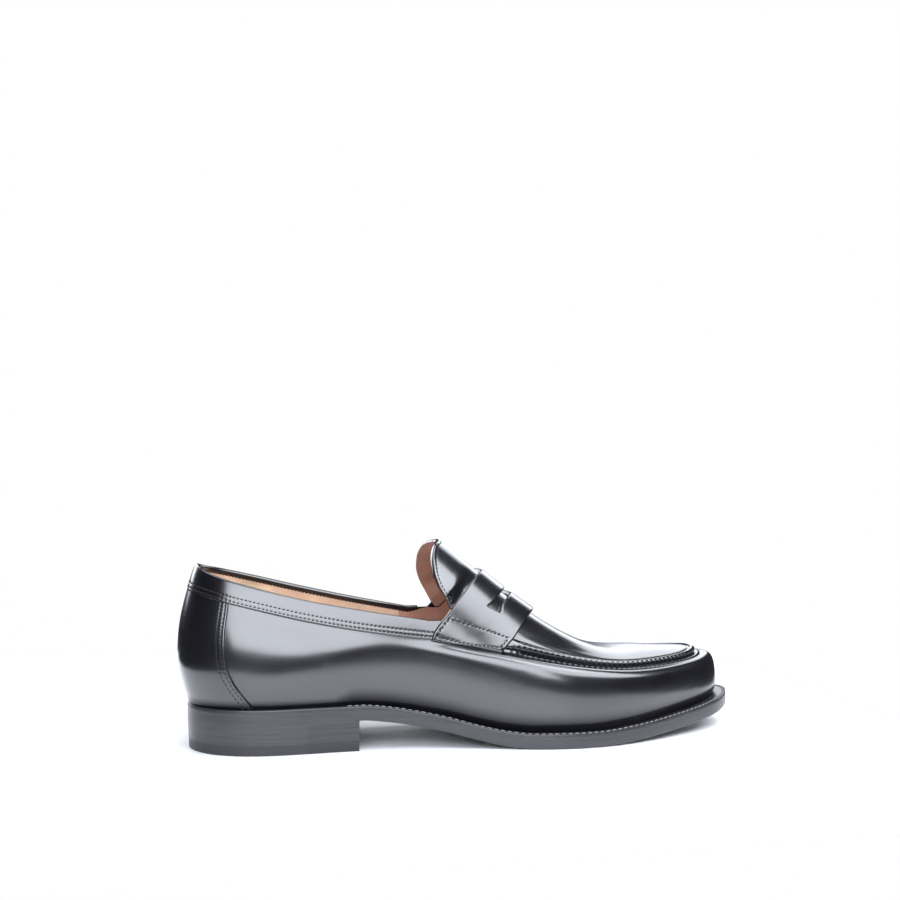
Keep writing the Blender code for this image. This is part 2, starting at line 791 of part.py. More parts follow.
def slot_half_width(distance):
    """Half the width of the slot at a distance from its middle, with a fish tail at each end."""
    flare_start = SLOT_HALF_LENGTH - SLOT_END_LENGTH
    if distance <= flare_start:
        return SLOT_HALF_WIDTH
    share = (distance - flare_start) / SLOT_END_LENGTH
    return SLOT_HALF_WIDTH + (SLOT_END_HALF_WIDTH - SLOT_HALF_WIDTH) * share


def make_strap(surface):
    """Strap over the instep, with its slot."""
    rear, front = STRAP_EDGE["rear"][-1], STRAP_EDGE["front"][-1]
    middle_row = row_at(0.5 * (rear + front))
    arch = np.linalg.norm(ridge_line.at(-1, middle_row) - style_line.at(-1, middle_row)) * 1.08
    width = front - rear
    slot_marks = np.array([0.0, 6.0, 12.0, SLOT_HALF_LENGTH])
    side_marks = np.concatenate([slot_marks, np.linspace(SLOT_HALF_LENGTH, arch - STRAP_RAMP - 0.6, 5)[1:]])
    side_marks = np.concatenate([side_marks, arch - STRAP_RAMP * np.array([0.75, 0.35, 0.0])])
    rest = BENT_LIFT + TONGUE_THICK + BENT_LIFT
    marks = np.concatenate([-side_marks[::-1], side_marks[1:]])
    outer, inner = [], []
    for mark in marks:
        half = slot_half_width(min(abs(mark), SLOT_HALF_LENGTH)) / width
        if abs(mark) > SLOT_HALF_LENGTH + 0.1:
            half = SLOT_HALF_WIDTH / width
        across = [0.0, 0.04, 0.26, 0.5 - half, 0.5 + half, 0.74, 0.96, 1.0]
        near_end = np.clip((arch - abs(mark)) / STRAP_RAMP, 0, 1)
        lift = GAP + (rest - GAP) * near_end**2 * (3 - 2 * near_end)
        share = mark / arch
        outer.append([strap_point(share, m, lift + STRAP_THICK * (0.6 if m in (0.0, 1.0) else 1.0)) for m in across])
        inner.append([strap_point(share, m, lift) for m in across])
    centre = len(side_marks) - 1
    slot_cells = [(r, 3) for r in range(centre - 3, centre + 3)]
    return slab("strap", np.array(outer), np.array(inner), surface, slot_cells)


def band_section(side, x):
    """Cross-section of the collar band, folded over the topline. Its end follows the edge of the strap."""
    lean = COLLAR_LEAN * (x / BAND_END_X) ** 6
    edge = topline_level(side, row_at(x + lean))[0]
    steps = np.array([0.02, 0.35, 0.7, 1.0])
    rows = row_at(x + lean * steps)
    steps = steps * edge
    out = lifted(side, rows, steps, np.full(4, GAP + BAND_THICK))
    back = lifted(side, rows, steps, np.full(4, GAP))
    row = rows[-1]
    rim = last_point(side, row, edge)
    away = last_normal(side, row, edge)
    rise = unit(rim - last_point(side, row, edge * 0.9))
    inside = -(UPPER_WALL + GAP)
    deep = inside - BAND_THICK
    crest = GAP + BAND_THICK
    top = [
        rim + rise * crest * 0.8 + away * (GAP + BAND_THICK * 0.3),
        rim + rise * crest + away * (inside * 0.5),
        rim + rise * crest * 0.7 + away * (deep + 0.3),
        rim - rise * BAND_TURN_IN * 0.3 + away * deep,
        rim - rise * BAND_TURN_IN + away * deep,
        rim - rise * BAND_TURN_IN + away * inside,
        rim + rise * GAP + away * inside,
        rim + rise * GAP + away * GAP,
    ]
    return list(out) + top + list(back[::-1][1:])


def make_collar_band(surface):
    stations = np.interp(station_rows(), FINE_ROWS, FINE_X)
    places = np.concatenate([stations[stations < BAND_END_X - 2.0], [BAND_END_X]])[::-1]
    sections = [band_section(side, x) for side, x in whole_loop(places)]
    return sweep("collar_band", np.array(sections), surface)


def make_heel_counter(surface):
    """Overlay round the back of the heel, under the collar band."""
    levels = np.linspace(-0.985, -0.015, 7)
    shares = np.linspace(-1, 1, 17)
    outer, inner = [], []
    for level in levels:
        edge_x = smooth_profile(COUNTER_EDGE["down"], COUNTER_EDGE["x"], -level)
        edge_row = row_at(edge_x)
        sides = [-1 if share <= 0 else 1 for share in shares]
        outer.append([lifted(s, abs(k) * edge_row, level, GAP + COUNTER_THICK) for s, k in zip(sides, shares)])
        inner.append([lifted(s, abs(k) * edge_row, level, GAP) for s, k in zip(sides, shares)])
    return slab("heel_counter", np.array(outer), np.array(inner), surface)


def main():
    for old in list(bpy.data.objects):
        bpy.data.objects.remove(old)
    calf = material("black_calf", BLACK_CALF, 0.18)
    edge = material("black_sole_edge", BLACK_EDGE, 0.35)
    tan = material("tan_leather", TAN_LEATHER, 0.55)
    rubber = material("black_rubber", BLACK_RUBBER, 0.6)
    make_outsole(edge)
    make_welt(edge)
    make_heel_rand(edge)
    make_heel(edge, rubber)
    make_insole(tan)
    make_upper(calf)
    make_heel_counter(calf)
    make_collar_band(calf)
    make_apron(calf)
    make_tongue(calf)
    make_strap(calf)


main()
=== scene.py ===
"""Dresses the solids of a black penny loafer in calf, tan lining, thread, dressed edges and heel rubber."""

import math

import bpy
import numpy as np
from bpy.props import FloatProperty, FloatVectorProperty, IntProperty, PointerProperty
from mathutils import Matrix, Vector
from mathutils.bvhtree import BVHTree


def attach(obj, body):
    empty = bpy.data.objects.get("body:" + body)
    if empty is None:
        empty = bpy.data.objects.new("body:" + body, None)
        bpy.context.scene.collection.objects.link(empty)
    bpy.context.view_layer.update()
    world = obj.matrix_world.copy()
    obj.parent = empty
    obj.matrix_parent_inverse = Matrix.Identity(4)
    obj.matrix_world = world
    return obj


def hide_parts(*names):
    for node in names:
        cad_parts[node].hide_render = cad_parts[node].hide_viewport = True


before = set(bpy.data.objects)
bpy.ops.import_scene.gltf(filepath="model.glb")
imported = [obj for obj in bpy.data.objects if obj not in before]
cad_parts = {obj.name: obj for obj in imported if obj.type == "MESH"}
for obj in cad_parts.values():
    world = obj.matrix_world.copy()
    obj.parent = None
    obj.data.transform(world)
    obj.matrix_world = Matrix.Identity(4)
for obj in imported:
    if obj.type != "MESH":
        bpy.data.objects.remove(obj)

bl_info = {
    "name": "Penny loafer",
    "version": (1, 0, 0),
    "blender": (4, 5, 0),
    "location": "View3D > Sidebar > Loafer",
    "description": "Gives the solids of a penny loafer their leather, seams and edges",
    "category": "Object",
}

# Sizes are in millimetres, with x from the back of the heel and y from its middle, as in the part's source.
MM = 0.001
ORIGIN = np.array([144.2, 0.17, 0.0])
UP = np.array([0.0, 0.0, 1.0])
MERGE = 1e-4  # points nearer to each other than this are one
GAP = 0.3  # room between two layers

# Sole, welt and heel.
OUTSOLE_THICK = 4.6
WELT_THICK = 2.5
WELT_TOP = OUTSOLE_THICK + GAP + WELT_THICK
WELT_END_X = 76.0
WELT_SEAM_INSET = 1.75
INSOLE_THICK = 2.7
HEEL_BREAST_X = 83.0
BREAST_DEPTH = 1.5
HEEL_UNDER_SOLE = 15.0
HEEL_TAPER = 0.8
TOP_PIECE_THICK = 5.0
TOP_PIECE_BEVEL = 0.03
LIFT_COUNT = 3
LIFT_BEVEL = 0.015

# Upper, with the layers in and on it.
UPPER_WALL = 2.2
FULLNESS = (1.4, 3.0)  # how far the wall stays upright above its widest line, at the rear and in the forepart
FULLNESS_X = (110.0, 165.0)  # where the one goes over into the other
COLLAR_END_X = 134.0
THROAT_X = 160.0
FOLDS_START_X = 150.0
PINKED_UP_TO_X = (118.0, 130.0)
PINKING_PITCH = 2.0
# Ahead of this the lining is painted russet as the tongue's shadow.
TONGUE_SHADOW_X = 113.0
HEEL_GRIP_END_X = 58.0
COUNTER_THICK = 0.8
BAND_THICK = 0.9
BAND_DEEP = 1.7  # how far inside the last's face the folded calf lies
BAND_TURN_IN = 3.0
BAND_END_X = 119.0
COLLAR_LEAN = 4.6
CUT_EDGE = 0.04  # how far a skived edge stands up
SEAM_ROWS = (1.5, 3.7)  # distance of the two rows of stitches from the edge of band and counter
THREAD_SUNK = 0.16  # how deep a thread's middle lies in the leather

# Apron, tongue and strap.
BENT_LIFT = 0.4  # room under a layer that is bent over the instep
APRON_THICK = 1.3
APRON_START_X = 146.0
APRON_SPINE_X = (168.0, 245.0)
VAMP_CREASES = ((5.2, 0.14), (7.6, 0.2), (10.4, 0.16), (13.6, 0.1))  # distance from the seam, and depth
TONGUE_THICK = 2.0
TONGUE_SEAM = 2.5
TONGUE_FLARE = 8.5  # how far the tongue's free edge would stand off the instep at the style line
TONGUE_LONGER = 3.5  # how much further back its lateral half reaches
JOIN_X = (143.0, 166.0)
STRAP_THICK = 2.3
STRAP_BELOW_LINE = (0.6, 4.8)
STRAP_RAMP = 60.0  # length over which the strap climbs from its sewn end on to the tongue
STRAP_SEAM_ROWS = (1.8, 8.1)
STRAP_SEAM_INSET = 1.9
STRAP_THREAD_SUNK = 0.06
STRAP_THREAD = 1.4  # its thread is this much thicker than on the rest of the upper
SLOT_HALF_LENGTH = 32.0
SLOT_HALF_WIDTH = 1.6
SLOT_END_HALF_WIDTH = 2.8
SLOT_END_LENGTH = 5.0

# Picture: a point of the shoe, in metres, and the pixel at which it is seen.
IMAGE_SIZE = 900
SENSOR_WIDTH = 36.0
AIM_POINT = (0.0028, -0.00017, 0.045)
AIM_PIXEL = (469.9, 647.32)

# Distances from a cut edge, close together where it is rounded and sewn.
NEAR_EDGE = np.concatenate([[0, 0.08, 0.22, 0.45, 0.75], np.linspace(1.0, 5.0, 17)])
NEAR_TONGUE_EDGE = np.concatenate([[0, 0.08, 0.22, 0.45, 0.8, 1.2], np.linspace(1.5, 4.5, 13)])
NEAR_STRAP_EDGE = np.array([0, 0.08, 0.22, 0.45, 0.75, 1.1, 1.5, 2.0, 2.5, 3.0])


def table(columns, rows):
    """Named columns, with one row for each section from the back of the heel to the tip of the toe."""
    return dict(zip(columns.split(), np.array(rows, float).reshape(-1, len(columns.split())).T))


# Outer edge of outsole and welt, seen from above.
SOLE_EDGE = table(
    "x lateral medial",
    [
        (0.0, 0.0, 0.0), (9.0, -21.6, 21.6), (31.0, -33.0, 32.6), (58.0, -33.6, 32.6), (88.0, -32.2, 30.2),
        (118.0, -34.4, 30.0), (150.0, -43.2, 36.0), (183.0, -51.2, 47.5), (216.0, -48.6, 52.0),
        (243.0, -38.6, 48.0), (265.6, -27.2, 39.8), (283.2, -14.2, 27.0), (293.4, 7.0, 7.0),
    ],
)
# Feather edge, where the upper goes down behind the welt.
FEATHER = table(
    "x lateral medial",
    [
        (1.8, 0.0, 0.0), (11.0, -19.6, 19.6), (32.0, -30.4, 30.0), (58.0, -31.0, 30.0), (88.0, -29.0, 27.0),
        (118.0, -30.4, 26.0), (150.0, -38.0, 31.0), (183.0, -45.4, 41.6), (214.0, -43.2, 46.2),
        (239.5, -34.0, 42.4), (260.4, -23.2, 35.2), (276.6, -11.4, 24.2), (286.0, 7.0, 7.0),
    ],
)
# Widest line of the upper.
WIDEST = table(
    "x lateral medial height",
    [
        (-3.9, 0.0, 0.0, 46.0), (6.0, -22.4, 22.4, 44.0), (31.0, -33.8, 33.0, 41.5),
        (58.0, -35.0, 33.8, 43.2), (88.0, -33.6, 31.2, 48.0), (118.0, -35.8, 31.6, 47.5),
        (150.0, -43.0, 37.0, 37.5), (183.0, -49.4, 46.4, 27.6), (215.0, -47.2, 50.2, 23.8),
        (241.0, -37.6, 46.2, 22.6), (262.4, -26.0, 38.2, 22.3), (278.2, -13.2, 26.0, 22.2),
        (287.3, 7.0, 7.0, 21.8),
    ],
)
# Lower edge of the collar band, then the bottom of the strap, then the apron seam.
STYLE_LINE = table(
    "x lateral medial height_lateral height_medial",
    [
        (1.0, 0.0, 0.0, 79.2, 79.2), (10.0, -19.2, 19.2, 76.2, 77.2), (32.0, -28.2, 27.8, 70.6, 72.2),
        (58.0, -30.4, 29.4, 64.2, 66.4), (88.0, -32.2, 28.8, 58.5, 60.6), (118.0, -34.4, 30.0, 54.4, 56.4),
        (150.0, -36.4, 32.6, 50.2, 51.6), (183.0, -34.8, 35.6, 42.6, 43.6), (214.0, -33.0, 37.4, 37.5, 38.2),
        (238.0, -26.8, 34.6, 36.8, 37.1), (255.4, -19.0, 28.6, 37.5, 37.6), (268.6, -9.2, 20.0, 38.6, 38.6),
        (274.5, 5.6, 5.6, 39.4, 39.4),
    ],
)
# Ridge of the last.
RIDGE = table(
    "x y height",
    [
        (30.0, 0.0, 115.0), (36.0, 0.0, 116.0), (48.0, 0.0, 116.0), (66.0, 0.0, 116.0), (90.0, 0.0, 117.0),
        (118.0, 1.0, 107.6), (150.0, 3.0, 82.9), (183.0, 5.0, 58.7), (214.0, 6.0, 43.4), (238.0, 6.0, 41.0),
        (255.4, 5.8, 40.5), (268.6, 5.6, 39.9), (274.5, 5.6, 39.4),
    ],
)
# Angles above the horizon at which the surface leaves the feather edge, reaches the style line and goes on.
SLOPES = table(
    "feather below_line above_line",
    [
        (72, 75, 75), (74, 76, 76), (70, 76, 76), (66, 78, 78), (64, 81, 81), (62, 84, 83), (60, 68, 66),
        (60, 46, 36), (60, 34, 17), (62, 30, 12), (64, 27, 9), (66, 24, 6), (66, 22, 4),
    ],
)
# Height of the collar at each section, up to where the strap covers it.
TOPLINE = table(
    "lateral medial", [(91.2, 91.2), (86.7, 88.3), (80.3, 83.1), (73.8, 76.8), (68.2, 70.1), (63.2, 64.0)]
)
# Underside of the outsole, from the side.
UNDERSIDE = table(
    "x height",
    [
        (0.0, 15.0), (84.0, 15.0), (98.0, 13.6), (112.0, 11.2), (127.0, 8.0), (141.0, 4.3), (155.0, 1.4),
        (170.0, 0.0), (200.0, 0.0), (220.0, 1.2), (240.0, 3.0), (257.0, 4.8), (268.0, 6.2), (281.0, 8.2),
        (294.0, 10.8),
    ],
)
# Free edge of the tongue.
TONGUE_EDGE = table(
    "level x",
    [
        (0.12, 135.0), (0.2, 131.0), (0.27, 127.2), (0.35, 123.9), (0.42, 122.4), (0.52, 122.0), (0.7, 124.0),
        (0.88, 127.2), (1.0, 127.9),
    ],
)
# Edges of the strap, from its bottom up to the ridge.
STRAP_EDGE = table(
    "up rear front medial_rear medial_front",
    [
        (0.0, 118.8, 154.1, 124.6, 157.8), (0.2, 127.9, 161.9, 132.2, 164.4),
        (0.4, 137.0, 168.2, 139.4, 170.0), (0.7, 145.6, 175.2, 146.4, 175.8),
        (0.88, 149.2, 178.3, 149.6, 178.5), (1.0, 150.8, 180.0, 150.8, 180.0),
    ],
)
# Front edge of the heel counter, from the style line down to the feather edge.
COUNTER_EDGE = table("down x", [(0.0, 19.4), (0.25, 19.2), (0.5, 19.8), (0.75, 23.6), (1.0, 31.6)])


def unit(vector):
    """Vectors of length one, along the last axis."""
    length = np.linalg.norm(vector, axis=-1, keepdims=True)
    return vector / np.maximum(length, 1e-9)


def hermite(start, end, slope_start, slope_end, at):
    """Point at share `at` of a cubic piece."""
    at = np.asarray(at, float)[..., None]
    return (
        (2 * at**3 - 3 * at**2 + 1) * start
        + (at**3 - 2 * at**2 + at) * slope_start
        + (3 * at**2 - 2 * at**3) * end
        + (at**3 - at**2) * slope_end
    )


class LoopCurve:
    """Smooth closed curve through the rows of a table: up the lateral side and back down the medial one."""

    def __init__(self, lateral, medial):
        self.points = np.vstack([lateral, medial[-2:0:-1]])
        self.last_row = len(lateral) - 1
        count = len(self.points)
        system = 4 * np.eye(count) + np.roll(np.eye(count), 1, 0) + np.roll(np.eye(count), -1, 0)
        self.slopes = np.linalg.solve(system, 3 * (np.roll(self.points, -1, 0) - np.roll(self.points, 1, 0)))

    def at(self, side, row):
        """Points at fractional rows, on the lateral side for side -1 and on the medial one for +1."""
        count = len(self.points)
        row = np.asarray(row, float)
        place = (row if side < 0 else 2 * self.last_row - row) % count
        index = np.floor(place).astype(int) % count
        after = (index + 1) % count
        start, end = self.points[index], self.points[after]
        return hermite(start, end, self.slopes[index], self.slopes[after], place - np.floor(place))

    def outward(self, side, row):
        """Level direction away from the shoe, square to the curve."""
        step = 1e-3
        along = self.at(side, np.asarray(row) + step) - self.at(side, np.asarray(row) - step)
        square = np.stack([along[..., 1], -along[..., 0], np.zeros_like(along[..., 0])], -1)
        return unit(square if side < 0 else -square)


def smooth_profile(table_x, table_y, x):
    """Smooth curve through a table that keeps level stretches level."""
    gaps = np.diff(table_x)
    rise = np.diff(table_y) / gaps
    slopes = np.zeros_like(table_y)
    for i in range(1, len(table_x) - 1):
        if rise[i - 1] * rise[i] > 0:
            slopes[i] = 2 * rise[i - 1] * rise[i] / (rise[i - 1] + rise[i])
    slopes[-1] = rise[-1]
    x = np.clip(np.asarray(x, float), table_x[0], table_x[-1])
    i = np.clip(np.searchsorted(table_x, x, "right") - 1, 0, len(gaps) - 1)
    ends = [v[..., None] for v in (table_y[i], table_y[i + 1], slopes[i] * gaps[i], slopes[i + 1] * gaps[i])]
    return hermite(*ends, (x - table_x[i]) / gaps[i])[..., 0]


def underside_height(x):
    """Height of the outsole's underside above the floor."""
    return smooth_profile(UNDERSIDE["x"], UNDERSIDE["height"], x)


def loop_of(rows, heights):
    """Closed curve of a table with x, lateral and medial columns, and its heights on the two sides."""
    return LoopCurve(*[np.stack([rows["x"], rows[n], h], 1) for n, h in zip(("lateral", "medial"), heights)])


def shared_loop(*columns):
    """Closed curve of values that are the same on both sides."""
    rows = np.stack(columns, 1)
    return LoopCurve(rows, rows)


sole_edge = loop_of(SOLE_EDGE, [underside_height(SOLE_EDGE["x"])] * 2)
feather_line = loop_of(FEATHER, [underside_height(FEATHER["x"])] * 2)
widest_line = loop_of(WIDEST, [WIDEST["height"]] * 2)
style_line = loop_of(STYLE_LINE, [STYLE_LINE["height_lateral"], STYLE_LINE["height_medial"]])
ridge_line = shared_loop(RIDGE["x"], RIDGE["y"], RIDGE["height"])
slope_angles = shared_loop(*[np.radians(SLOPES[name]) for name in ("feather", "below_line", "above_line")])
LAST_ROW = len(RIDGE["x"]) - 1
FINE_ROWS = np.linspace(0, LAST_ROW, 1201)
FINE_X = style_line.at(-1, FINE_ROWS)[:, 0]
FINE_EDGE_X = sole_edge.at(-1, FINE_ROWS)[:, 0]


def row_at(x):
    """Row whose place on the style line is x along the shoe."""
    return np.interp(x, FINE_X, FINE_ROWS)


def row_of_edge(x):
    """Row at which the sole's edge is x along the shoe."""
    return np.interp(x, FINE_EDGE_X, FINE_ROWS)


def rows_every(line, side, low, high, spacing):
    """Rows from low to high whose points on a line are about a spacing apart."""
    rows = np.linspace(low, high, 1201)
    gone = travelled(line.at(side, rows))
    count = max(int(round(gone[-1] / spacing)), 1)
    return np.interp(np.linspace(0, gone[-1], count + 1), gone, rows)


def rows_in_two(side, split, rear_spacing, front_spacing):
    """Rows of the style line at one spacing behind a row and at another one ahead of it."""
    rear = rows_every(style_line, side, 0, split, rear_spacing)[:-1]
    return np.concatenate([rear, rows_every(style_line, side, split, LAST_ROW, front_spacing)])


def travelled(path):
    """Distance along a path, at each of its points."""
    steps = np.linalg.norm(np.diff(path, axis=0), axis=1)
    return np.concatenate([[0.0], np.cumsum(steps)])


def between(x, low, high):
    """0 below low, 1 above high, and a smooth climb from one to the other."""
    share = np.clip((np.asarray(x, float) - low) / (high - low), 0, 1)
    return share * share * (3 - 2 * share)


def hump(distance, width):
    """1 in the middle, down to nothing about two widths away."""
    return np.exp(-((np.asarray(distance) / width) ** 2))


def feather_point(side, row):
    """Foot of the last, level with the top of the welt."""
    point = feather_line.at(side, row)
    point[..., 2] = underside_height(point[..., 0]) + OUTSOLE_THICK + GAP + WELT_THICK
    return point


def leaning(outward, angle):
    """Direction that climbs at an angle and leans outward."""
    angle = np.asarray(angle)[..., None]
    return np.cos(angle) * outward + np.sin(angle) * UP


def wall_point(side, row, level):
    """The last below the style line: level 0 is the feather edge and 1 the style line."""
    row, level = np.broadcast_arrays(np.asarray(row, float), np.asarray(level, float))
    bottom, middle, top = feather_point(side, row), widest_line.at(side, row), style_line.at(side, row)
    outward = widest_line.outward(side, row)
    angles = slope_angles.at(side, row)
    leave = leaning(outward, angles[..., 0])
    reach = leaning(-outward, angles[..., 1])
    low = np.linalg.norm(middle - bottom, axis=-1)[..., None]
    high = np.linalg.norm(top - middle, axis=-1)[..., None]
    fuller = between(middle[..., 0], *FULLNESS_X)
    swell = (FULLNESS[0] + (FULLNESS[1] - FULLNESS[0]) * fuller)[..., None]
    share = (low / (low + high))[..., 0]
    first = hermite(bottom, middle, leave * low, UP * low, np.clip(level / share, 0, 1))
    top_share = np.clip((level - share) / (1 - share), 0, 1)
    second = hermite(middle, top, UP * high * swell, reach * high, top_share)
    return np.where((level <= share)[..., None], first, second)


def crown_point(side, row, level):
    """The last above the style line: level 0 is the style line and 1 the ridge."""
    row, level = np.broadcast_arrays(np.asarray(row, float), np.asarray(level, float))
    start, end = style_line.at(side, row), ridge_line.at(-1, row)
    across = (end - start) * np.array([1.0, 1.0, 0.0])
    angle = slope_angles.at(side, row)[..., 2]
    span = np.linalg.norm(end - start, axis=-1)[..., None]
    width = np.linalg.norm(across, axis=-1)[..., None]
    rising = start + 0.42 * span * leaning(unit(across), angle)
    level_off = end - 0.55 * width * unit(across)
    at = level[..., None]
    rest = 1 - at
    return rest**3 * start + 3 * rest**2 * at * rising + 3 * rest * at**2 * level_off + at**3 * end


def last_point(side, row, level):
    """The last: level -1 is the feather edge, 0 the style line and 1 the ridge."""
    row, level = np.broadcast_arrays(np.asarray(row, float), np.asarray(level, float))
    below = wall_point(side, row, np.clip(level + 1, 0, 1))
    above = crown_point(side, row, np.clip(level, 0, 1))
    return np.where((level < 0)[..., None], below, above)


def last_normal(side, row, level):
    """Outward direction, square to the last."""
    row, level = np.broadcast_arrays(np.asarray(row, float), np.asarray(level, float))
    step = 1e-3
    row_mid = np.clip(row, step, LAST_ROW - 0.03)
    high = np.where(level < 0, np.minimum(level + step, -1e-6), np.minimum(level + step, 1.0))
    low = np.where(level < 0, np.maximum(level - step, -1.0), np.maximum(level - step, 0.0))
    along = last_point(side, row_mid + step, level) - last_point(side, row_mid - step, level)
    up = last_point(side, row_mid, high) - last_point(side, row_mid, low)
    normal = unit(np.cross(along, up) * -side)
    slope = ridge_line.at(-1, row_mid + step) - ridge_line.at(-1, row_mid - step)
    on_ridge = unit(np.cross(slope, np.array([0.0, 1.0, 0.0])))
    return np.where((level > 1 - 1e-6)[..., None], on_ridge, normal)


def lifted(side, row, level, height):
    """Point at a height above the last, or under it where the height is negative."""
    row, level, height = np.broadcast_arrays(*[np.asarray(v, float) for v in (row, level, height)])
    return last_point(side, row, level) + height[..., None] * last_normal(side, row, level)


def topline_level(side, rows):
    """Level of the upper's free edge: the collar, then a curve that closes over the instep."""
    heights = TOPLINE["lateral" if side < 0 else "medial"]
    levels = np.linspace(0, 1, 101)
    collar_row, throat_row = row_at(COLLAR_END_X), row_at(THROAT_X)

    def level_at(r):
        climb = crown_point(side, np.full(101, r), levels)[:, 2]
        return np.interp(smooth_profile(np.arange(len(heights), dtype=float), heights, r), climb, levels)

    start = level_at(collar_row)
    closing = start + (1 - start) * between(rows, collar_row, throat_row)
    return np.array([level_at(r) if r <= collar_row else c for r, c in zip(rows, closing)])


# Meshes.


def grid_quads(rows, columns, start=0, ring=False):
    """Quads of a grid of points numbered row by row. In a ring the last column meets the first."""
    r, c = np.meshgrid(np.arange(rows - 1), np.arange(columns if ring else columns - 1), indexing="ij")
    near, far = r * columns + c, r * columns + (c + 1) % columns
    return (start + np.stack([near, near + columns, far + columns, far], -1).reshape(-1, 4)).tolist()


class Patches:
    """Collects points in millimetres and faces with a finish each, and makes one mesh piece of them."""

    def __init__(self):
        self.points, self.faces, self.finishes, self.count = [], [], [], 0

    def add(self, points, faces, finish=0):
        points = np.asarray(points, float).reshape(-1, 3)
        self.faces += [[i + self.count for i in face] for face in faces]
        self.finishes += [finish] * len(faces)
        self.points.append(points)
        self.count += len(points)

    def grid(self, grid, finish=0, ring=False):
        self.add(grid, grid_quads(grid.shape[0], grid.shape[1], 0, ring), finish)

    def cap(self, outline):
        """One face over a closed outline."""
        self.add(outline, [list(range(len(outline)))])

    def tube(self, sections):
        """Closed cross-sections one after another, with a face over either end."""
        self.grid(sections, 0, ring=True)
        self.cap(sections[0])
        self.cap(sections[-1])

    def make(self, name, materials, outward=True, sharp=50.0):
        """The piece, with coinciding points joined and its faces turned outward, or inward for a lining."""
        points = np.concatenate(self.points)
        _, first, index = np.unique(np.round(points / MERGE), axis=0, return_index=True, return_inverse=True)
        index = index.reshape(-1)
        points = (points[first] - ORIGIN) * MM
        kept, finishes = [], []
        for face, finish in zip(self.faces, self.finishes):
            corners = [int(index[i]) for i in face]
            corners = [c for i, c in enumerate(corners) if c != corners[i - 1]]
            if len(corners) > 2:
                kept.append(corners)
                finishes.append(finish)
        mesh = bpy.data.meshes.new(name)
        mesh.from_pydata(points.tolist(), [], kept)
        mesh.polygons.foreach_set("material_index", finishes)
        for finish in materials:
            mesh.materials.append(finish)
        mesh.update()
        centres, normals, areas = (np.zeros(len(kept) * n) for n in (3, 3, 1))
        mesh.polygons.foreach_get("center", centres)
        mesh.polygons.foreach_get("normal", normals)
        mesh.polygons.foreach_get("area", areas)
        centres = centres.reshape(-1, 3) - points.mean(0)
        facing = float((np.sum(centres * normals.reshape(-1, 3), 1) * areas).sum())
        if (facing > 0) != outward:
            mesh.flip_normals()
        mesh.shade_smooth()
        mesh.set_sharp_from_angle(angle=math.radians(sharp))
        made = bpy.data.objects.new(name, mesh)
        bpy.context.scene.collection.objects.link(made)
        return made


def settle(piece, slot, *nodes):
    """The piece goes with the shoe and stands for the solids that are named, which are hidden. Its slot is not
    used.
    """
    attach(piece, "root")
    if nodes:
        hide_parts(*nodes)
    return piece


def closed_edge(patches, outer, inner):
    """Closes the rim between two grids of the same size."""
    rows, columns = outer.shape[:2]
    rim = [(0, c) for c in range(columns)] + [(r, columns - 1) for r in range(1, rows)]
    rim += [(rows - 1, c) for c in range(columns - 2, -1, -1)] + [(r, 0) for r in range(rows - 2, 0, -1)]
    rim.append(rim[0])
    r, c = np.array(rim).T
    patches.grid(np.stack([outer[r, c], inner[r, c]], 1))


def stitches(patches, path, normals, pitch, width, fill=0.8, slant=0.0):
    """Short threads along a seam, each with its ends pulled into the leather."""
    gone = travelled(path)
    count = int(gone[-1] // pitch)
    if count < 1:
        return
    share = np.array([0.0, 0.12, 0.35, 0.65, 0.88, 1.0])
    start = (gone[-1] - count * pitch) / 2 + pitch * (1 - fill) / 2
    place = start + pitch * np.arange(count)[:, None] + pitch * fill * share
    centre = np.stack([np.interp(place, gone, path[:, i]) for i in range(3)], -1)
    up = unit(np.stack([np.interp(place, gone, normals[:, i]) for i in range(3)], -1))
    along = unit(np.gradient(centre, axis=1))
    across = unit(np.cross(up, along))
    radius = 0.5 * width * np.array([0.45, 0.85, 1.0, 1.0, 0.85, 0.45])
    lift = 0.5 * width * np.array([-0.9, 0.3, 0.65, 0.65, 0.3, -0.9])
    centre = centre + up * lift[:, None] + across * (slant * (2 * share - 1))[:, None]
    turn = np.arange(6) * math.tau / 6
    ring = np.cos(turn)[:, None] * across[..., None, :] + np.sin(turn)[:, None] * up[..., None, :]
    points = centre[..., None, :] + radius[:, None, None] * ring
    faces = grid_quads(6, 6, 0, True) + [list(range(6)), list(range(30, 36))]
    for i in range(count):
        patches.add(points[i], faces)


def groove(distance, along, pitch, depth, width=0.55):
    """Dent of a row of stitches: a shallow channel that is deepest at each hole."""
    return -depth * hump(distance, width) * (0.55 + 0.45 * np.cos(math.tau * along / pitch))


def rounded(distance, radius):
    """Share of the full thickness at a distance in from an edge that is rounded over."""
    share = np.clip(distance / radius, 0, 1)
    return 0.3 + 0.7 * np.sqrt(1 - (1 - share) ** 2)


# Finishes.


def linear(hex_colour):
    """Linear colour of an sRGB hex value."""
    values = [int(hex_colour[i : i + 2], 16) / 255 for i in (1, 3, 5)]
    return tuple(v / 12.92 if v <= 0.04045 else ((v + 0.055) / 1.055) ** 2.4 for v in values)


def add_node(tree, kind, inputs=None, **settings):
    """One node with its settings. Each input is a value, or the output that it is linked to."""
    made = tree.nodes.new(kind)
    for key, value in settings.items():
        setattr(made, key, value)
    for key, value in (inputs or {}).items():
        if isinstance(value, bpy.types.NodeSocket):
            tree.links.new(value, made.inputs[key])
        else:
            made.inputs[key].default_value = value
    return made


def shades(tree, driver, stops):
    """Colour ramp over a value. Stops are places with linear colours."""
    ramp = add_node(tree, "ShaderNodeValToRGB", {"Fac": driver})
    elements = ramp.color_ramp.elements
    while len(elements) < len(stops):
        elements.new(0.5)
    for element, (place, colour) in zip(elements, stops):
        element.position = place
        element.color = (*colour, 1.0)
    return ramp.outputs["Color"]


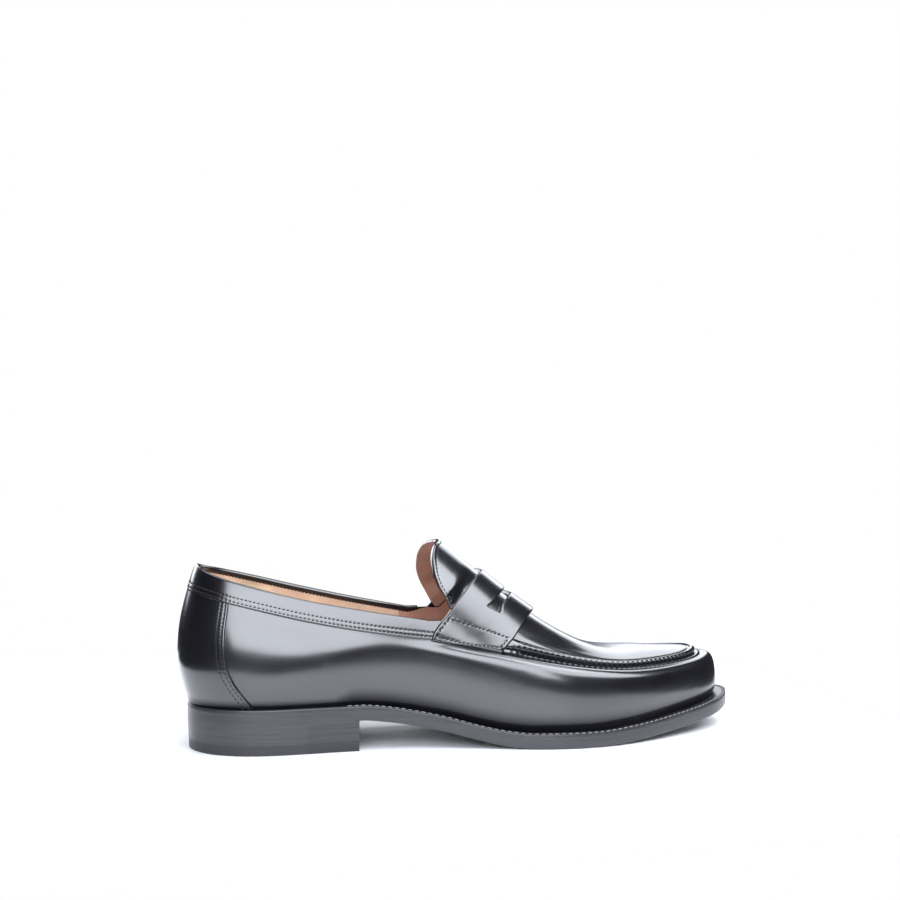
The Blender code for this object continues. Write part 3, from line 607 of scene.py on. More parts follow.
def scaled(colour, factor):
    """A colour made darker or lighter by a factor."""
    return tuple(min(v * factor, 1.0) for v in colour)


def new_material(name, base):
    """Material with its shader and the place on the shoe, in metres, that its patterns are drawn from."""
    made = bpy.data.materials.new(name)
    made.use_nodes = True
    made.diffuse_color = (*base, 1.0)
    tree = made.node_tree
    shader = tree.nodes["Principled BSDF"]
    place = add_node(tree, "ShaderNodeTexCoord").outputs["Object"]
    return made, tree, shader, place


def set_inputs(tree, shader, **values):
    """Sets the shader's inputs by name, with spaces for underscores."""
    for key, value in values.items():
        socket = shader.inputs[key.replace("_", " ")]
        if isinstance(value, bpy.types.NodeSocket):
            tree.links.new(value, socket)
        else:
            socket.default_value = value


def repeats(size):
    """Pattern scale, per metre, of a pattern whose features are so many millimetres apart."""
    return 1 / (size * MM)


def polished_box_calf(name, colour, gloss=0.24):
    """Chrome-tanned box calf, plated smooth and polished with wax.

    The wax gives mirror-like soft reflections, and the fine pores break their edges a little.
    """
    made, tree, shader, place = new_material(name, colour)
    cloud = add_node(tree, "ShaderNodeTexNoise", {"Vector": place, "Scale": repeats(18.0), "Detail": 3.0})
    tone = shades(tree, cloud.outputs["Fac"], [(0.3, scaled(colour, 0.75)), (0.7, scaled(colour, 1.35))])
    rough = add_node(
        tree,
        "ShaderNodeMapRange",
        {"Value": cloud.outputs["Fac"], "To Min": gloss * 0.85, "To Max": gloss * 1.25},
    )
    # The pores of calf are about 0.2 mm apart, and are drawn 0.6 mm apart so that they show.
    pores = add_node(tree, "ShaderNodeTexVoronoi", {"Vector": place, "Scale": repeats(0.6)})
    wave = add_node(tree, "ShaderNodeTexNoise", {"Vector": place, "Scale": repeats(9.0), "Detail": 1.0})
    soft = add_node(
        tree, "ShaderNodeBump", {"Height": wave.outputs["Fac"], "Strength": 0.12, "Distance": 0.0006}
    )
    fine = add_node(
        tree,
        "ShaderNodeBump",
        {
            "Height": pores.outputs["Distance"],
            "Normal": soft.outputs["Normal"],
            "Strength": 0.07,
            "Distance": 0.00005,
        },
    )
    # Painted shade: in the crease above the welt and round the heel seat the reflection is tinted nearly black
    # and the coat is taken away, so the leather is painted dark there as if in shade.
    parts = add_node(tree, "ShaderNodeSeparateXYZ", {"Vector": place})
    span = {"From Min": -ORIGIN[0] * MM, "From Max": (UNDERSIDE["x"][-1] - ORIGIN[0]) * MM}
    share = add_node(tree, "ShaderNodeMapRange", {"Value": parts.outputs["X"], **span}).outputs["Result"]
    highest = 20.0
    lows = [(x / UNDERSIDE["x"][-1], (z / highest,) * 3) for x, z in zip(UNDERSIDE["x"], UNDERSIDE["height"])]
    low = {0: shades(tree, share, lows), 1: highest * MM}
    low = add_node(tree, "ShaderNodeMath", low, operation="MULTIPLY")
    over = add_node(tree, "ShaderNodeMath", {0: parts.outputs["Z"], 1: low.outputs[0]}, operation="SUBTRACT")
    foot = WELT_TOP * MM
    # The painted crease shade reaches about 4 mm up round the heel and 10 mm up from the waist on.
    deep = shades(tree, share, [(0.24, (0.42,) * 3), (0.272, (1.0,) * 3)])
    deep = add_node(tree, "ShaderNodeMath", {0: deep, 1: 0.0098}, operation="MULTIPLY")
    dull = add_node(
        tree,
        "ShaderNodeMapRange",
        {"Value": over.outputs[0], "From Min": foot + 0.0008, "To Min": 1.0, "To Max": 0.0},
        interpolation_type="SMOOTHSTEP",
    )
    top = add_node(tree, "ShaderNodeMath", {0: deep.outputs[0], 1: foot + 0.0012}, operation="ADD")
    tree.links.new(top.outputs[0], dull.inputs["From Max"])
    dull = dull.outputs["Result"]
    coat = add_node(tree, "ShaderNodeMapRange", {"Value": dull, "To Min": 0.85, "To Max": 0.0})
    set_inputs(
        tree,
        shader,
        Base_Color=tone,
        Roughness=rough.outputs["Result"],
        IOR=1.5,
        Specular_IOR_Level=0.75,
        # The tint paints the crease's shade into the reflection.
        Specular_Tint=shades(tree, dull, [(0.0, (1.0,) * 3), (1.0, (0.06,) * 3)]),
        Coat_Weight=coat.outputs["Result"],
        Coat_Roughness=0.18,
        Coat_IOR=1.6,
        Normal=fine.outputs["Normal"],
    )
    return made


def edge_dressing(name, colour):
    """Leather edge inked black, burnished with a hot iron and waxed.

    It has a satin face with faint lines along the layers.
    """
    made, tree, shader, place = new_material(name, colour)
    stretched = add_node(tree, "ShaderNodeMapping", {"Vector": place, "Scale": (30.0, 30.0, 900.0)})
    layers = add_node(
        tree, "ShaderNodeTexNoise", {"Vector": stretched.outputs["Vector"], "Scale": 1.0, "Detail": 4.0}
    )
    tone = shades(tree, layers.outputs["Fac"], [(0.35, scaled(colour, 0.85)), (0.65, scaled(colour, 1.25))])
    rough = add_node(
        tree, "ShaderNodeMapRange", {"Value": layers.outputs["Fac"], "To Min": 0.3, "To Max": 0.42}
    )
    lines = add_node(
        tree, "ShaderNodeBump", {"Height": layers.outputs["Fac"], "Strength": 0.25, "Distance": 0.00015}
    )
    set_inputs(
        tree,
        shader,
        Base_Color=tone,
        Roughness=rough.outputs["Result"],
        IOR=1.5,
        Coat_Weight=0.35,
        Coat_Roughness=0.25,
        Normal=lines.outputs["Normal"],
    )
    return made


def heel_rubber(name, colour):
    """Moulded black rubber, with a fine even stipple and little shine."""
    made, tree, shader, place = new_material(name, colour)
    stipple = add_node(tree, "ShaderNodeTexNoise", {"Vector": place, "Scale": repeats(0.5), "Detail": 2.0})
    tone = shades(tree, stipple.outputs["Fac"], [(0.3, scaled(colour, 0.9)), (0.7, scaled(colour, 1.15))])
    bump = add_node(
        tree, "ShaderNodeBump", {"Height": stipple.outputs["Fac"], "Strength": 0.2, "Distance": 0.0001}
    )
    set_inputs(tree, shader, Base_Color=tone, Roughness=0.45, IOR=1.52, Normal=bump.outputs["Normal"])
    return made


def lining_leather(name, colour, roughness=0.5, fuzz=0.0):
    """Vegetable-tanned lining leather, undyed or lightly dyed, with open pores and uneven colour."""
    made, tree, shader, place = new_material(name, colour)
    cloud = add_node(tree, "ShaderNodeTexNoise", {"Vector": place, "Scale": repeats(14.0), "Detail": 5.0})
    stops = [(0.3, scaled(colour, 0.78)), (0.52, colour), (0.75, scaled(colour, 1.2))]
    tone = shades(tree, cloud.outputs["Fac"], stops)
    # The pores of this leather are about 0.4 mm apart, and are drawn 0.9 mm apart so that they show.
    grain = add_node(tree, "ShaderNodeTexVoronoi", {"Vector": place, "Scale": repeats(0.9)})
    bump = add_node(
        tree, "ShaderNodeBump", {"Height": grain.outputs["Distance"], "Strength": 0.35, "Distance": 0.0001}
    )
    set_inputs(
        tree,
        shader,
        Base_Color=tone,
        Roughness=roughness,
        IOR=1.45,
        Sheen_Weight=fuzz,
        Sheen_Roughness=0.5,
        Normal=bump.outputs["Normal"],
    )
    return made


def waxed_thread(name, colour):
    """Twisted thread drawn through wax: a dull shine broken by its plies."""
    made, tree, shader, place = new_material(name, colour)
    # The plies of this thread are about 0.2 mm apart, and are drawn at 0.3 mm so that they show.
    plies = add_node(tree, "ShaderNodeTexNoise", {"Vector": place, "Scale": repeats(0.3), "Detail": 1.0})
    tone = shades(tree, plies.outputs["Fac"], [(0.35, scaled(colour, 0.7)), (0.65, scaled(colour, 1.2))])
    bump = add_node(
        tree, "ShaderNodeBump", {"Height": plies.outputs["Fac"], "Strength": 0.5, "Distance": 0.0001}
    )
    set_inputs(tree, shader, Base_Color=tone, Roughness=0.5, IOR=1.5, Normal=bump.outputs["Normal"])
    return made


def studio_paper(name, colour):
    """Matt white paper under the shoe, which shades it without a pattern of its own."""
    made, tree, shader, place = new_material(name, colour)
    fibres = add_node(tree, "ShaderNodeTexNoise", {"Vector": place, "Scale": repeats(4.0), "Detail": 2.0})
    tone = shades(tree, fibres.outputs["Fac"], [(0.3, scaled(colour, 0.995)), (0.7, colour)])
    set_inputs(tree, shader, Base_Color=tone, Roughness=0.4, IOR=1.45)
    return made


def finish_named(name):
    """A material that an operator made before, or that this call makes from the panel's colours."""
    found = bpy.data.materials.get(name)
    if found:
        return found
    colours = bpy.context.scene.loafer_colours
    makers = {
        "polished_box_calf": lambda: polished_box_calf(name, tuple(colours.calf)),
        "waxed_edge_dressing": lambda: edge_dressing(name, tuple(colours.edge)),
        "moulded_heel_rubber": lambda: heel_rubber(name, tuple(colours.rubber)),
        "tan_lining_leather": lambda: lining_leather(name, tuple(colours.lining)),
        "russet_lining_and_shade": lambda: lining_leather(name, tuple(colours.tongue_lining)),
        "pale_heel_grip_suede": lambda: lining_leather(name, tuple(colours.heel_grip), 0.85, 0.3),
        "black_waxed_thread": lambda: waxed_thread(name, tuple(colours.thread)),
        "grey_linen_thread": lambda: waxed_thread(name, tuple(colours.welt_thread)),
    }
    return makers[name]()


# Settings.


class LoaferColours(bpy.types.PropertyGroup):
    """Colours of the finishes."""

    calf: FloatVectorProperty(
        name="Calf",
        description="Colour of the polished upper leather",
        subtype="COLOR",
        default=linear("#0D0D12"),
    )
    edge: FloatVectorProperty(
        name="Edge",
        description="Colour of the dressed sole and heel edges",
        subtype="COLOR",
        default=linear("#2E2E32"),
    )
    rubber: FloatVectorProperty(
        name="Rubber",
        description="Colour of the heel's top piece",
        subtype="COLOR",
        default=linear("#2A2A2D"),
    )
    lining: FloatVectorProperty(
        name="Lining",
        description="Colour of the quarter lining",
        subtype="COLOR",
        default=linear("#CDAC91"),
    )
    # This russet is the tongue's lining, and is also painted on the front of the quarter lining as the tongue's
    # shadow.
    tongue_lining: FloatVectorProperty(
        name="Tongue lining",
        description="Colour under the tongue",
        subtype="COLOR",
        default=linear("#AF8371"),
    )
    heel_grip: FloatVectorProperty(
        name="Heel grip",
        description="Colour of the lining at the heel",
        subtype="COLOR",
        default=linear("#CBB497"),
    )
    thread: FloatVectorProperty(
        name="Thread",
        description="Colour of the seams on the upper",
        subtype="COLOR",
        default=linear("#17171A"),
    )
    welt_thread: FloatVectorProperty(
        name="Welt thread",
        description="Colour of the stitches on the welt",
        subtype="COLOR",
        default=linear("#86847F"),
    )
    floor: FloatVectorProperty(
        name="Floor",
        description="Colour of the paper under the shoe",
        subtype="COLOR",
        default=linear("#F4F4F4"),
    )


class LoaferSeams(bpy.types.PropertyGroup):
    """Sizes of the stitches and of what they do to the leather."""

    pitch: FloatProperty(
        name="Stitch pitch",
        description="Length of a stitch on the upper",
        default=0.0021,
        unit="LENGTH",
        min=0.001,
    )
    width: FloatProperty(
        name="Thread width",
        description="Width of the thread on the upper",
        default=0.00056,
        unit="LENGTH",
    )
    dent: FloatProperty(
        name="Seam dent",
        description="How deep a row of stitches pulls the leather in",
        default=0.0001,
        unit="LENGTH",
    )
    apron_pitch: FloatProperty(
        name="Apron pitch",
        description="Length of a stitch of the apron seam",
        default=0.0031,
        unit="LENGTH",
        min=0.001,
    )
    apron_width: FloatProperty(
        name="Apron thread",
        description="Width of the thread of the apron seam",
        default=0.0008,
        unit="LENGTH",
    )
    pucker: FloatProperty(
        name="Pucker depth",
        description="Depth of the folds below the apron seam",
        default=0.0002,
        unit="LENGTH",
    )
    welt_pitch: FloatProperty(
        name="Welt pitch",
        description="Length of a stitch on the welt",
        default=0.0034,
        unit="LENGTH",
        min=0.001,
    )
    welt_width: FloatProperty(
        name="Welt thread width",
        description="Width of the thread on the welt",
        default=0.0006,
        unit="LENGTH",
    )
    seed: IntProperty(name="Seed", description="Start of the random lengths of the folds", default=7)


class LoaferStudio(bpy.types.PropertyGroup):
    """Camera and lights."""

    azimuth: FloatProperty(
        name="Azimuth",
        description="Camera's turn from the square side view",
        subtype="ANGLE",
        default=math.radians(-13.32),
    )
    elevation: FloatProperty(
        name="Elevation",
        description="Camera's angle above the floor",
        subtype="ANGLE",
        default=math.radians(8.09),
    )
    distance: FloatProperty(
        name="Distance", description="From the camera to the shoe", default=0.709, unit="LENGTH"
    )
    lens: FloatProperty(
        name="Lens", description="Focal length on a sensor 36 mm wide", default=52.92, unit="CAMERA"
    )
    front_light: FloatProperty(
        name="Front softbox",
        description="Power of the large softbox over the camera",
        default=6.8,
        unit="POWER",
    )
    side_light: FloatProperty(
        name="Side light",
        description="Power of the softbox in front of the toe",
        default=7.4,
        unit="POWER",
    )
    rear_light: FloatProperty(
        name="Rear softbox",
        description="Power of the softbox behind the shoe",
        default=1.55,
        unit="POWER",
    )
    floor_light: FloatProperty(
        name="Floor light",
        description="Power of the softbox that clears the shadow under the waist",
        default=3.5,
        unit="POWER",
    )
    top_light: FloatProperty(
        name="Top light", description="Power of the light overhead", default=24.0, unit="POWER"
    )
    fill: FloatProperty(name="Fill", description="Strength of the room's own light", default=0.05)


# Pieces.


def hide_point(side, row):
    """Lower edge of the upper, tucked behind the welt."""
    point = feather_point(side, row)
    point[..., 2] = underside_height(point[..., 0]) + OUTSOLE_THICK + GAP * 0.5
    return point


class LOAFER_OT_upper(bpy.types.Operator):
    """Upper of polished calf, drawn into small folds below the apron seam"""

    bl_idname = "loafer.upper"
    bl_label = "Upper"

    def execute(self, context):
        seams = context.scene.loafer_seams
        pitch, depth = seams.apron_pitch / MM, seams.pucker / MM
        chance = np.random.default_rng(seams.seed)
        patches = Patches()
        levels = np.concatenate([np.linspace(-1, -0.35, 18), np.linspace(-0.35, -1e-5, 27)[1:]])
        for side in (-1, 1):
            rows = rows_in_two(side, row_at(FOLDS_START_X), 1.6, 0.45)
            seam = style_line.at(side, rows)
            along = travelled(seam)
            drop = -levels * np.linalg.norm(seam - feather_point(side, rows), axis=1)[:, None] * 1.1
            lengths = chance.uniform(1.0, 2.8, int(along[-1] / pitch) + 3)
            length = np.interp(along / pitch, np.arange(len(lengths)), lengths)[:, None]
            fold = (0.5 + 0.5 * np.cos(math.tau * along / pitch)) ** 3
            front = between(seam[:, 0], 160.0, 172.0)[:, None]
            # A low roll under the seam, and the valley of the seam itself.
            height = 0.4 * hump(drop - 1.8, 1.3) - 0.5 * hump(drop, 0.7)
            folds = depth * fold[:, None] * np.exp(-drop / length) * between(drop, -0.2, 0.8)
            height = front * (height - folds)
            wall = lifted(side, rows[:, None], levels, height)
            edge = topline_level(side, rows)
            crown = lifted(side, rows[:, None], edge[:, None] * np.linspace(0, 1, 13)[1:], -0.02)
            patches.grid(np.concatenate([hide_point(side, rows)[:, None], wall, crown], 1))
        made = patches.make("upper_calf", [finish_named("polished_box_calf")])
        settle(made, "black_calf", "upper")
        return {"FINISHED"}


def below_topline(side, rows, distance):
    """Level of points at a distance below the upper's free edge."""
    edge = topline_level(side, rows)
    top, line, bottom = last_point(side, rows, edge), style_line.at(side, rows), feather_point(side, rows)
    crown = np.maximum(np.linalg.norm(top - line, axis=1), 1e-3)[:, None]
    wall = np.linalg.norm(line - bottom, axis=1)[:, None] * 1.08
    above = edge[:, None] * (1 - distance / crown)
    return np.where(distance < crown, above, np.maximum(-(distance - crown) / wall, -1.0))


def side_height(side, rows):
    """Straight distance from the feather edge up to the upper's free edge."""
    free = last_point(side, rows, topline_level(side, rows))
    return np.linalg.norm(free - feather_point(side, rows), axis=1)[:, None]


def hanging_sheet(side, rows, start, distance, depth, turned_out):
    """Sheet inside the upper, from a start below the free edge down, with its cut edge turned outward."""
    grid = lifted(side, rows[:, None], below_topline(side, rows, distance), -depth)
    rim = lifted(side, rows[:, None], below_topline(side, rows, start), -depth[:, :1] + turned_out)
    return np.concatenate([rim, grid], 1)


class LOAFER_OT_lining(bpy.types.Operator):
    """Tan lining with a pinked edge over the folded calf, painted russet toward the front as the tongue's
    shadow, and a pale grip round the heel
    """

    bl_idname = "loafer.lining"
    bl_label = "Lining"

    def execute(self, context):
        patches, grip = Patches(), Patches()
        for side in (-1, 1):
            rows = rows_in_two(side, row_at(THROAT_X), 0.5, 3.0)
            along = travelled(style_line.at(side, rows))[:, None]
            collar = 1 - between(rows, *[row_at(x) for x in PINKED_UP_TO_X])[:, None]
            teeth = np.abs((along / PINKING_PITCH) % 1.0 - 0.5) * 1.5
            start = (1.9 + teeth) * collar
            share = np.concatenate([[0.0, 0.02, 0.05, 0.1], np.linspace(0.15, 1, 24)])
            distance = start + (side_height(side, rows) * 1.25 - start) * share
            depth = 1.75 + 0.55 * between(distance, 3.0, 9.0) + 0.15 * collar
            sheet = hanging_sheet(side, rows, start, distance, depth, 0.35)
            # Ahead of this row the lining takes the darker, redder russet colour: a painted shadow of the
            # tongue.
            split = int(np.searchsorted(rows, row_at(TONGUE_SHADOW_X)))
            patches.grid(sheet[: split + 1], 0)
            patches.grid(sheet[split:], 1)
            rows = rows_every(style_line, side, 0, row_at(HEEL_GRIP_END_X), 0.8)
            along = travelled(style_line.at(side, rows))[:, None]
            start = 4.3 + 26.0 * between(along, along[-1] - 16.0, along[-1] + 4.0)
            distance = start + (side_height(side, rows) * 1.2 - start) * np.linspace(0, 1, 26)
            depth = 2.25 + 0.5 * between(distance, 3.0, 9.0)
            grip.grid(hanging_sheet(side, rows, start, distance, depth, 0.5))
        finishes = [finish_named("tan_lining_leather"), finish_named("russet_lining_and_shade")]
        made = patches.make("quarter_lining", finishes, outward=False)
        settle(made, "tan_leather")
        made = grip.make("heel_grip", [finish_named("pale_heel_grip_suede")], outward=False)
        settle(made, "tan_leather")
        return {"FINISHED"}


def distances_in(near, reach, count):
    """Distances from an edge: the near ones, then more, evenly, as far as each row reaches."""
    far = near[-1] + (reach - near[-1]) * np.linspace(0, 1, count)[1:]
    return np.concatenate([np.broadcast_to(near, (len(far), len(near))), far], 1)


class LOAFER_OT_collar_band(bpy.types.Operator):
    """Band of calf folded over the topline, with two rows of stitches along its lower edge"""

    bl_idname = "loafer.collar_band"
    bl_label = "Collar band"

    def execute(self, context):
        seams = context.scene.loafer_seams
        pitch, dent = seams.pitch / MM, seams.dent / MM
        full = GAP + BAND_THICK
        patches, thread = Patches(), Patches()
        lines = {place: [] for place in SEAM_ROWS}
        for side in (-1, 1):
            foot = rows_every(style_line, side, 0, row_at(BAND_END_X + 0.3), 0.42)
            x = np.interp(foot, FINE_ROWS, FINE_X)
            along = travelled(style_line.at(side, foot))[:, None]
            lean = COLLAR_LEAN * (x / BAND_END_X) ** 6
            edge = topline_level(side, row_at(x + lean))
            reach = last_point(side, foot, edge) - last_point(side, foot, 0.0)
            reach = np.linalg.norm(reach, axis=1)[:, None]
            distance = distances_in(NEAR_EDGE, reach, 12)
            share = np.clip(distance / reach, 0, 1)
            rows = row_at(x[:, None] + lean[:, None] * share)
            height = CUT_EDGE + (full - CUT_EDGE) * rounded(distance, 0.6)
            for place in lines:
                height = height + groove(distance - place, along, pitch, dent)
            outer = lifted(side, rows, share * edge[:, None], height)
            foot_edge = lifted(side, rows[:, :1], share[:, :1] * edge[:, None], -0.1)
            rim_row = row_at(x + lean)
            rim, away = last_point(side, rim_row, edge), last_normal(side, rim_row, edge)
            rise = unit(rim - last_point(side, rim_row, edge * 0.9))
            turn = np.linspace(0, math.pi, 15)[1:, None, None]
            middle, half = (full - BAND_DEEP) / 2, (full + BAND_DEEP) / 2
            over = rim + rise * 0.9 * np.sin(turn) + away * (middle + half * np.cos(turn))
            down = np.linspace(0, BAND_TURN_IN, 6)[1:, None, None]
            inside = rim - rise * down - away * BAND_DEEP
            turned = np.concatenate([over, inside]).transpose(1, 0, 2)
            section = np.concatenate([foot_edge, outer, turned], 1)
            patches.grid(section)
            patches.cap(section[-1])
            for place in lines:
                level = place / reach[:, 0] * edge
                at = row_at(x + lean * place / reach[:, 0])
                path = lifted(side, at, level, full - THREAD_SUNK)
                lines[place].append((path, last_normal(side, at, level)))
        for lateral, medial in lines.values():
            path, normals = (np.concatenate([a[::-1], b[1:]]) for a, b in zip(lateral, medial))
            stitches(thread, path, normals, pitch, seams.width / MM)
        made = patches.make("collar_band_calf", [finish_named("polished_box_calf")])
        settle(made, "black_calf", "collar_band")
        settle(thread.make("collar_band_stitches", [finish_named("black_waxed_thread")]), "black_calf")
        return {"FINISHED"}


class LOAFER_OT_heel_counter(bpy.types.Operator):
    """Counter of calf round the heel, with two rows of stitches along each front edge"""

    bl_idname = "loafer.heel_counter"
    bl_label = "Heel counter"

    def execute(self, context):
        seams = context.scene.loafer_seams
        pitch, dent = seams.pitch / MM, seams.dent / MM
        full = GAP + COUNTER_THICK
        patches, thread = Patches(), Patches()
        levels = np.linspace(-1.0, -0.002, 110)[:, None]
        edge_row = row_at(smooth_profile(COUNTER_EDGE["down"], COUNTER_EDGE["x"], -levels))
        for side in (-1, 1):
            arc = travelled(last_point(side, np.linspace(0, row_at(19.6), 60), -0.4))[-1]
            distance = distances_in(NEAR_EDGE, np.array([[arc]]), 24)
            rows = edge_row * np.clip(1 - distance / arc, 0, 1)
            along = (levels + 1) * 62.0
            height = CUT_EDGE + (full - CUT_EDGE) * rounded(distance, 0.5)
            for place in SEAM_ROWS:
                height = height + groove(distance - place, along, pitch, dent)
            outer = lifted(side, rows, levels, height)
            foot = lifted(side, rows[:, :1], levels, -0.1)
            patches.grid(np.concatenate([foot, outer], 1))
            for place in SEAM_ROWS:
                at = (edge_row * (1 - place / arc))[:, 0]
                path = lifted(side, at, levels[:, 0], full - THREAD_SUNK)
                stitches(thread, path, last_normal(side, at, levels[:, 0]), pitch, seams.width / MM)
        made = patches.make("heel_counter_calf", [finish_named("polished_box_calf")])
        settle(made, "black_calf", "heel_counter")
        settle(thread.make("heel_counter_stitches", [finish_named("black_waxed_thread")]), "black_calf")
        return {"FINISHED"}


def crown_surface():
    """Looks up the height of the last's upper face, and its slope, at places seen from above."""
    rows = np.linspace(row_at(138.0), LAST_ROW, 420)[:, None]
    points, faces = [], []
    for side in (-1, 1):
        start, end = style_line.at(side, rows), ridge_line.at(-1, np.minimum(rows, LAST_ROW - 0.05))
        inward = unit((end - start) * np.array([1.0, 1.0, 0.0]))
        apart = start - 6.0 * leaning(inward, slope_angles.at(side, rows)[..., 2])
        grid = np.concatenate([apart, crown_point(side, rows, np.linspace(0, 1, 41)[None])], 1)
        faces += grid_quads(grid.shape[0], grid.shape[1], len(points))
        points += grid.reshape(-1, 3).tolist()
    tree = BVHTree.FromPolygons(points, faces)
    down = Vector((0.0, 0.0, -1.0))

    def height_at(x, y, other):
        hit = tree.ray_cast(Vector((x, y, 300.0)), down)[0]
        return hit.z if hit else other

    def place_at(plan, heights):
        points, normals = np.zeros((len(plan), 3)), np.zeros((len(plan), 3))
        step = 0.4
        for i, ((x, y), other) in enumerate(zip(plan, heights)):
            z = height_at(x, y, other)
            dx = height_at(x + step, y, z) - height_at(x - step, y, z)
            dy = height_at(x, y + step, z) - height_at(x, y - step, z)
            points[i] = (x, y, z)
            normals[i] = (-dx / (2 * step), -dy / (2 * step), 1.0)
        return points, unit(normals)

    return place_at


def half_order(side):
    """Order in which the two halves follow each other: up the lateral one, then back down the medial one."""
    return slice(None) if side < 0 else slice(-2, None, -1)


class LOAFER_OT_apron(bpy.types.Operator):
    """Apron with a rolled border, sewn to the wall with thick thread that draws it in"""

    bl_idname = "loafer.apron"
    bl_label = "Apron"

    def execute(self, context):
        seams = context.scene.loafer_seams
        pitch = seams.apron_pitch / MM
        border, inward = [], []
        for side in (-1, 1):
            rows = rows_every(style_line, side, row_at(APRON_START_X), LAST_ROW, 0.45)
            border.append(style_line.at(side, rows)[half_order(side)])
            inward.append(-style_line.outward(side, rows)[half_order(side)])
        border, inward = np.concatenate(border), np.concatenate(inward)
        along = travelled(border)[:, None]
        low, high = APRON_SPINE_X
        spine_x = np.minimum(border[:, 0], high) - APRON_START_X
        spine_x = low + spine_x * (high - low) / (high - APRON_START_X)
        fine_ridge = ridge_line.at(-1, FINE_ROWS)
        spine = np.stack([spine_x, np.interp(spine_x, fine_ridge[:, 0], fine_ridge[:, 1])], 1)
        near = np.concatenate([[0, 0.15, 0.35, 0.6], np.linspace(0.9, 7.0, 22)])
        rim = border[:, None, :2] + near[:, None] * inward[:, None, :2]
        share = np.linspace(0, 1, 22)[1:, None]
        field = rim[:, -1:, :] * (1 - share) + spine[:, None, :] * share
        plan = np.concatenate([rim, field], 1)
        gone = np.linalg.norm(field - rim[:, -1:, :], axis=-1)
        distance = np.concatenate([np.broadcast_to(near, (len(border), len(near))), near[-1] + gone], 1)
        heights = np.broadcast_to(border[:, 2:], distance.shape)
        points, normals = crown_surface()(plan.reshape(-1, 2), heights.reshape(-1))
        points, normals = points.reshape(*plan.shape[:2], 3), normals.reshape(*plan.shape[:2], 3)
        full = BENT_LIFT + APRON_THICK
        # Section of the rolled border: distance from the seam, and height.
        profile = [
            (0.0, 0.0), (0.3, 1.1), (0.8, 1.95), (1.6, 2.45), (2.4, 2.2), (3.0, 1.6), (3.5, 1.32), (4.3, 1.5),
            (5.6, full), (7.0, full), (60.0, full),
        ]
        raised = smooth_profile(*np.array(profile).T, distance)
        flat = full * rounded(distance, 0.8)
        front = between(border[:, :1], 156.0, 166.0)
        height = flat * (1 - front) + raised * front
        pull = (0.5 + 0.5 * np.cos(math.tau * along / pitch)) ** 2
        height = height - 0.28 * front * pull * hump(distance - 0.7, 0.9)
        # Soft creases where the vamp bends, beside the seam in front of the strap.
        bend = between(border[:, :1], 158.0, 170.0) * (1 - between(border[:, :1], 186.0, 214.0))
        for place, depth in VAMP_CREASES:
            drift = place + 0.5 * np.sin(along / 9.0 + place)
            height = height - depth * bend * hump(distance - drift, 0.9)
        outer = points + height[..., None] * normals
        foot = points[:, :1] - 0.8 * normals[:, :1]
        patches, thread = Patches(), Patches()
        patches.grid(np.concatenate([foot, outer], 1))
        made = patches.make("apron_calf", [finish_named("polished_box_calf")])
        settle(made, "black_calf", "apron")
        shown = border[:, 0] > 158.0
        outwards = unit(normals[:, 2] - 0.9 * inward)
        path = (outer[:, 1] * 0.35 + outer[:, 3] * 0.65)[shown]
        stitches(thread, path, outwards[shown], pitch, seams.apron_width / MM, 0.72, 0.35)
        settle(thread.make("apron_seam", [finish_named("black_waxed_thread")]), "black_calf")
        return {"FINISHED"}


def join_row(level):
    """Row at which the tongue ends under the strap."""
    return row_at(JOIN_X[0] + (JOIN_X[1] - JOIN_X[0]) * level)


class LOAFER_OT_tongue(bpy.types.Operator):
    """Tongue with a stitched, rounded edge and a russet lining"""

    bl_idname = "loafer.tongue"
    bl_label = "Tongue"

    def execute(self, context):
        seams = context.scene.loafer_seams
        pitch, dent = seams.pitch / MM, seams.dent / MM
        patches, thread = Patches(), Patches()
        full = BENT_LIFT + TONGUE_THICK
        outer, inner, path, normals = [], [], [], []
        for side in (-1, 1):
            level = np.concatenate([np.linspace(0.1, 0.3, 40)[:-1], np.linspace(0.3, 1.0, 70)])
            longer = TONGUE_LONGER * (1 - level) * between(level, 0.15, 0.35) * (side < 0)
            free = row_at(smooth_profile(TONGUE_EDGE["level"], TONGUE_EDGE["x"], level) - longer)
            join = join_row(level) + 0.15
            reach = last_point(side, free, level) - last_point(side, join, level)
            reach = np.linalg.norm(reach, axis=1)[:, None]
            distance = distances_in(NEAR_TONGUE_EDGE, reach, 22)
            rows = free[:, None] + (join - free)[:, None] * distance / reach
            along = travelled(last_point(side, free, level))[:, None]
            stand = TONGUE_FLARE * (1 - level[:, None]) ** 2
            away = stand * (1 - ahead_of_strap(side, rows, level[:, None], -7.0, -0.5))
            thick = TONGUE_THICK * (1 - 0.6 * ahead_of_strap(side, rows, level[:, None], 1.0, 3.0))
            height = BENT_LIFT + away + thick * rounded(distance, 0.9)
            height = height + groove(distance - TONGUE_SEAM, along, pitch, dent)
            height = height + 0.16 * hump(distance - 1.2, 0.9)
            top = lifted(side, rows, level[:, None], height)
            under = lifted(side, rows, level[:, None], BENT_LIFT + away)
            at = free + (join - free) * TONGUE_SEAM / reach[:, 0]
            order = half_order(side)
            outer.append(top[order])
            inner.append(under[order])
            away = stand[:, 0] * (1 - ahead_of_strap(side, at, level, -7.0, -0.5))
            path.append(lifted(side, at, level, full + away - THREAD_SUNK)[order])
            normals.append(last_normal(side, at, level)[order])
        outer, inner = np.concatenate(outer), np.concatenate(inner)
        patches.grid(outer, 0)
        patches.grid(inner[:, ::-1], 1)
        closed_edge(patches, outer, inner)
        finishes = [finish_named("polished_box_calf"), finish_named("russet_lining_and_shade")]
        settle(patches.make("tongue_calf", finishes), "black_calf", "tongue")
        stitches(thread, np.concatenate(path), np.concatenate(normals), pitch, seams.width / MM)
        settle(thread.make("tongue_stitches", [finish_named("black_waxed_thread")]), "black_calf")
        return {"FINISHED"}


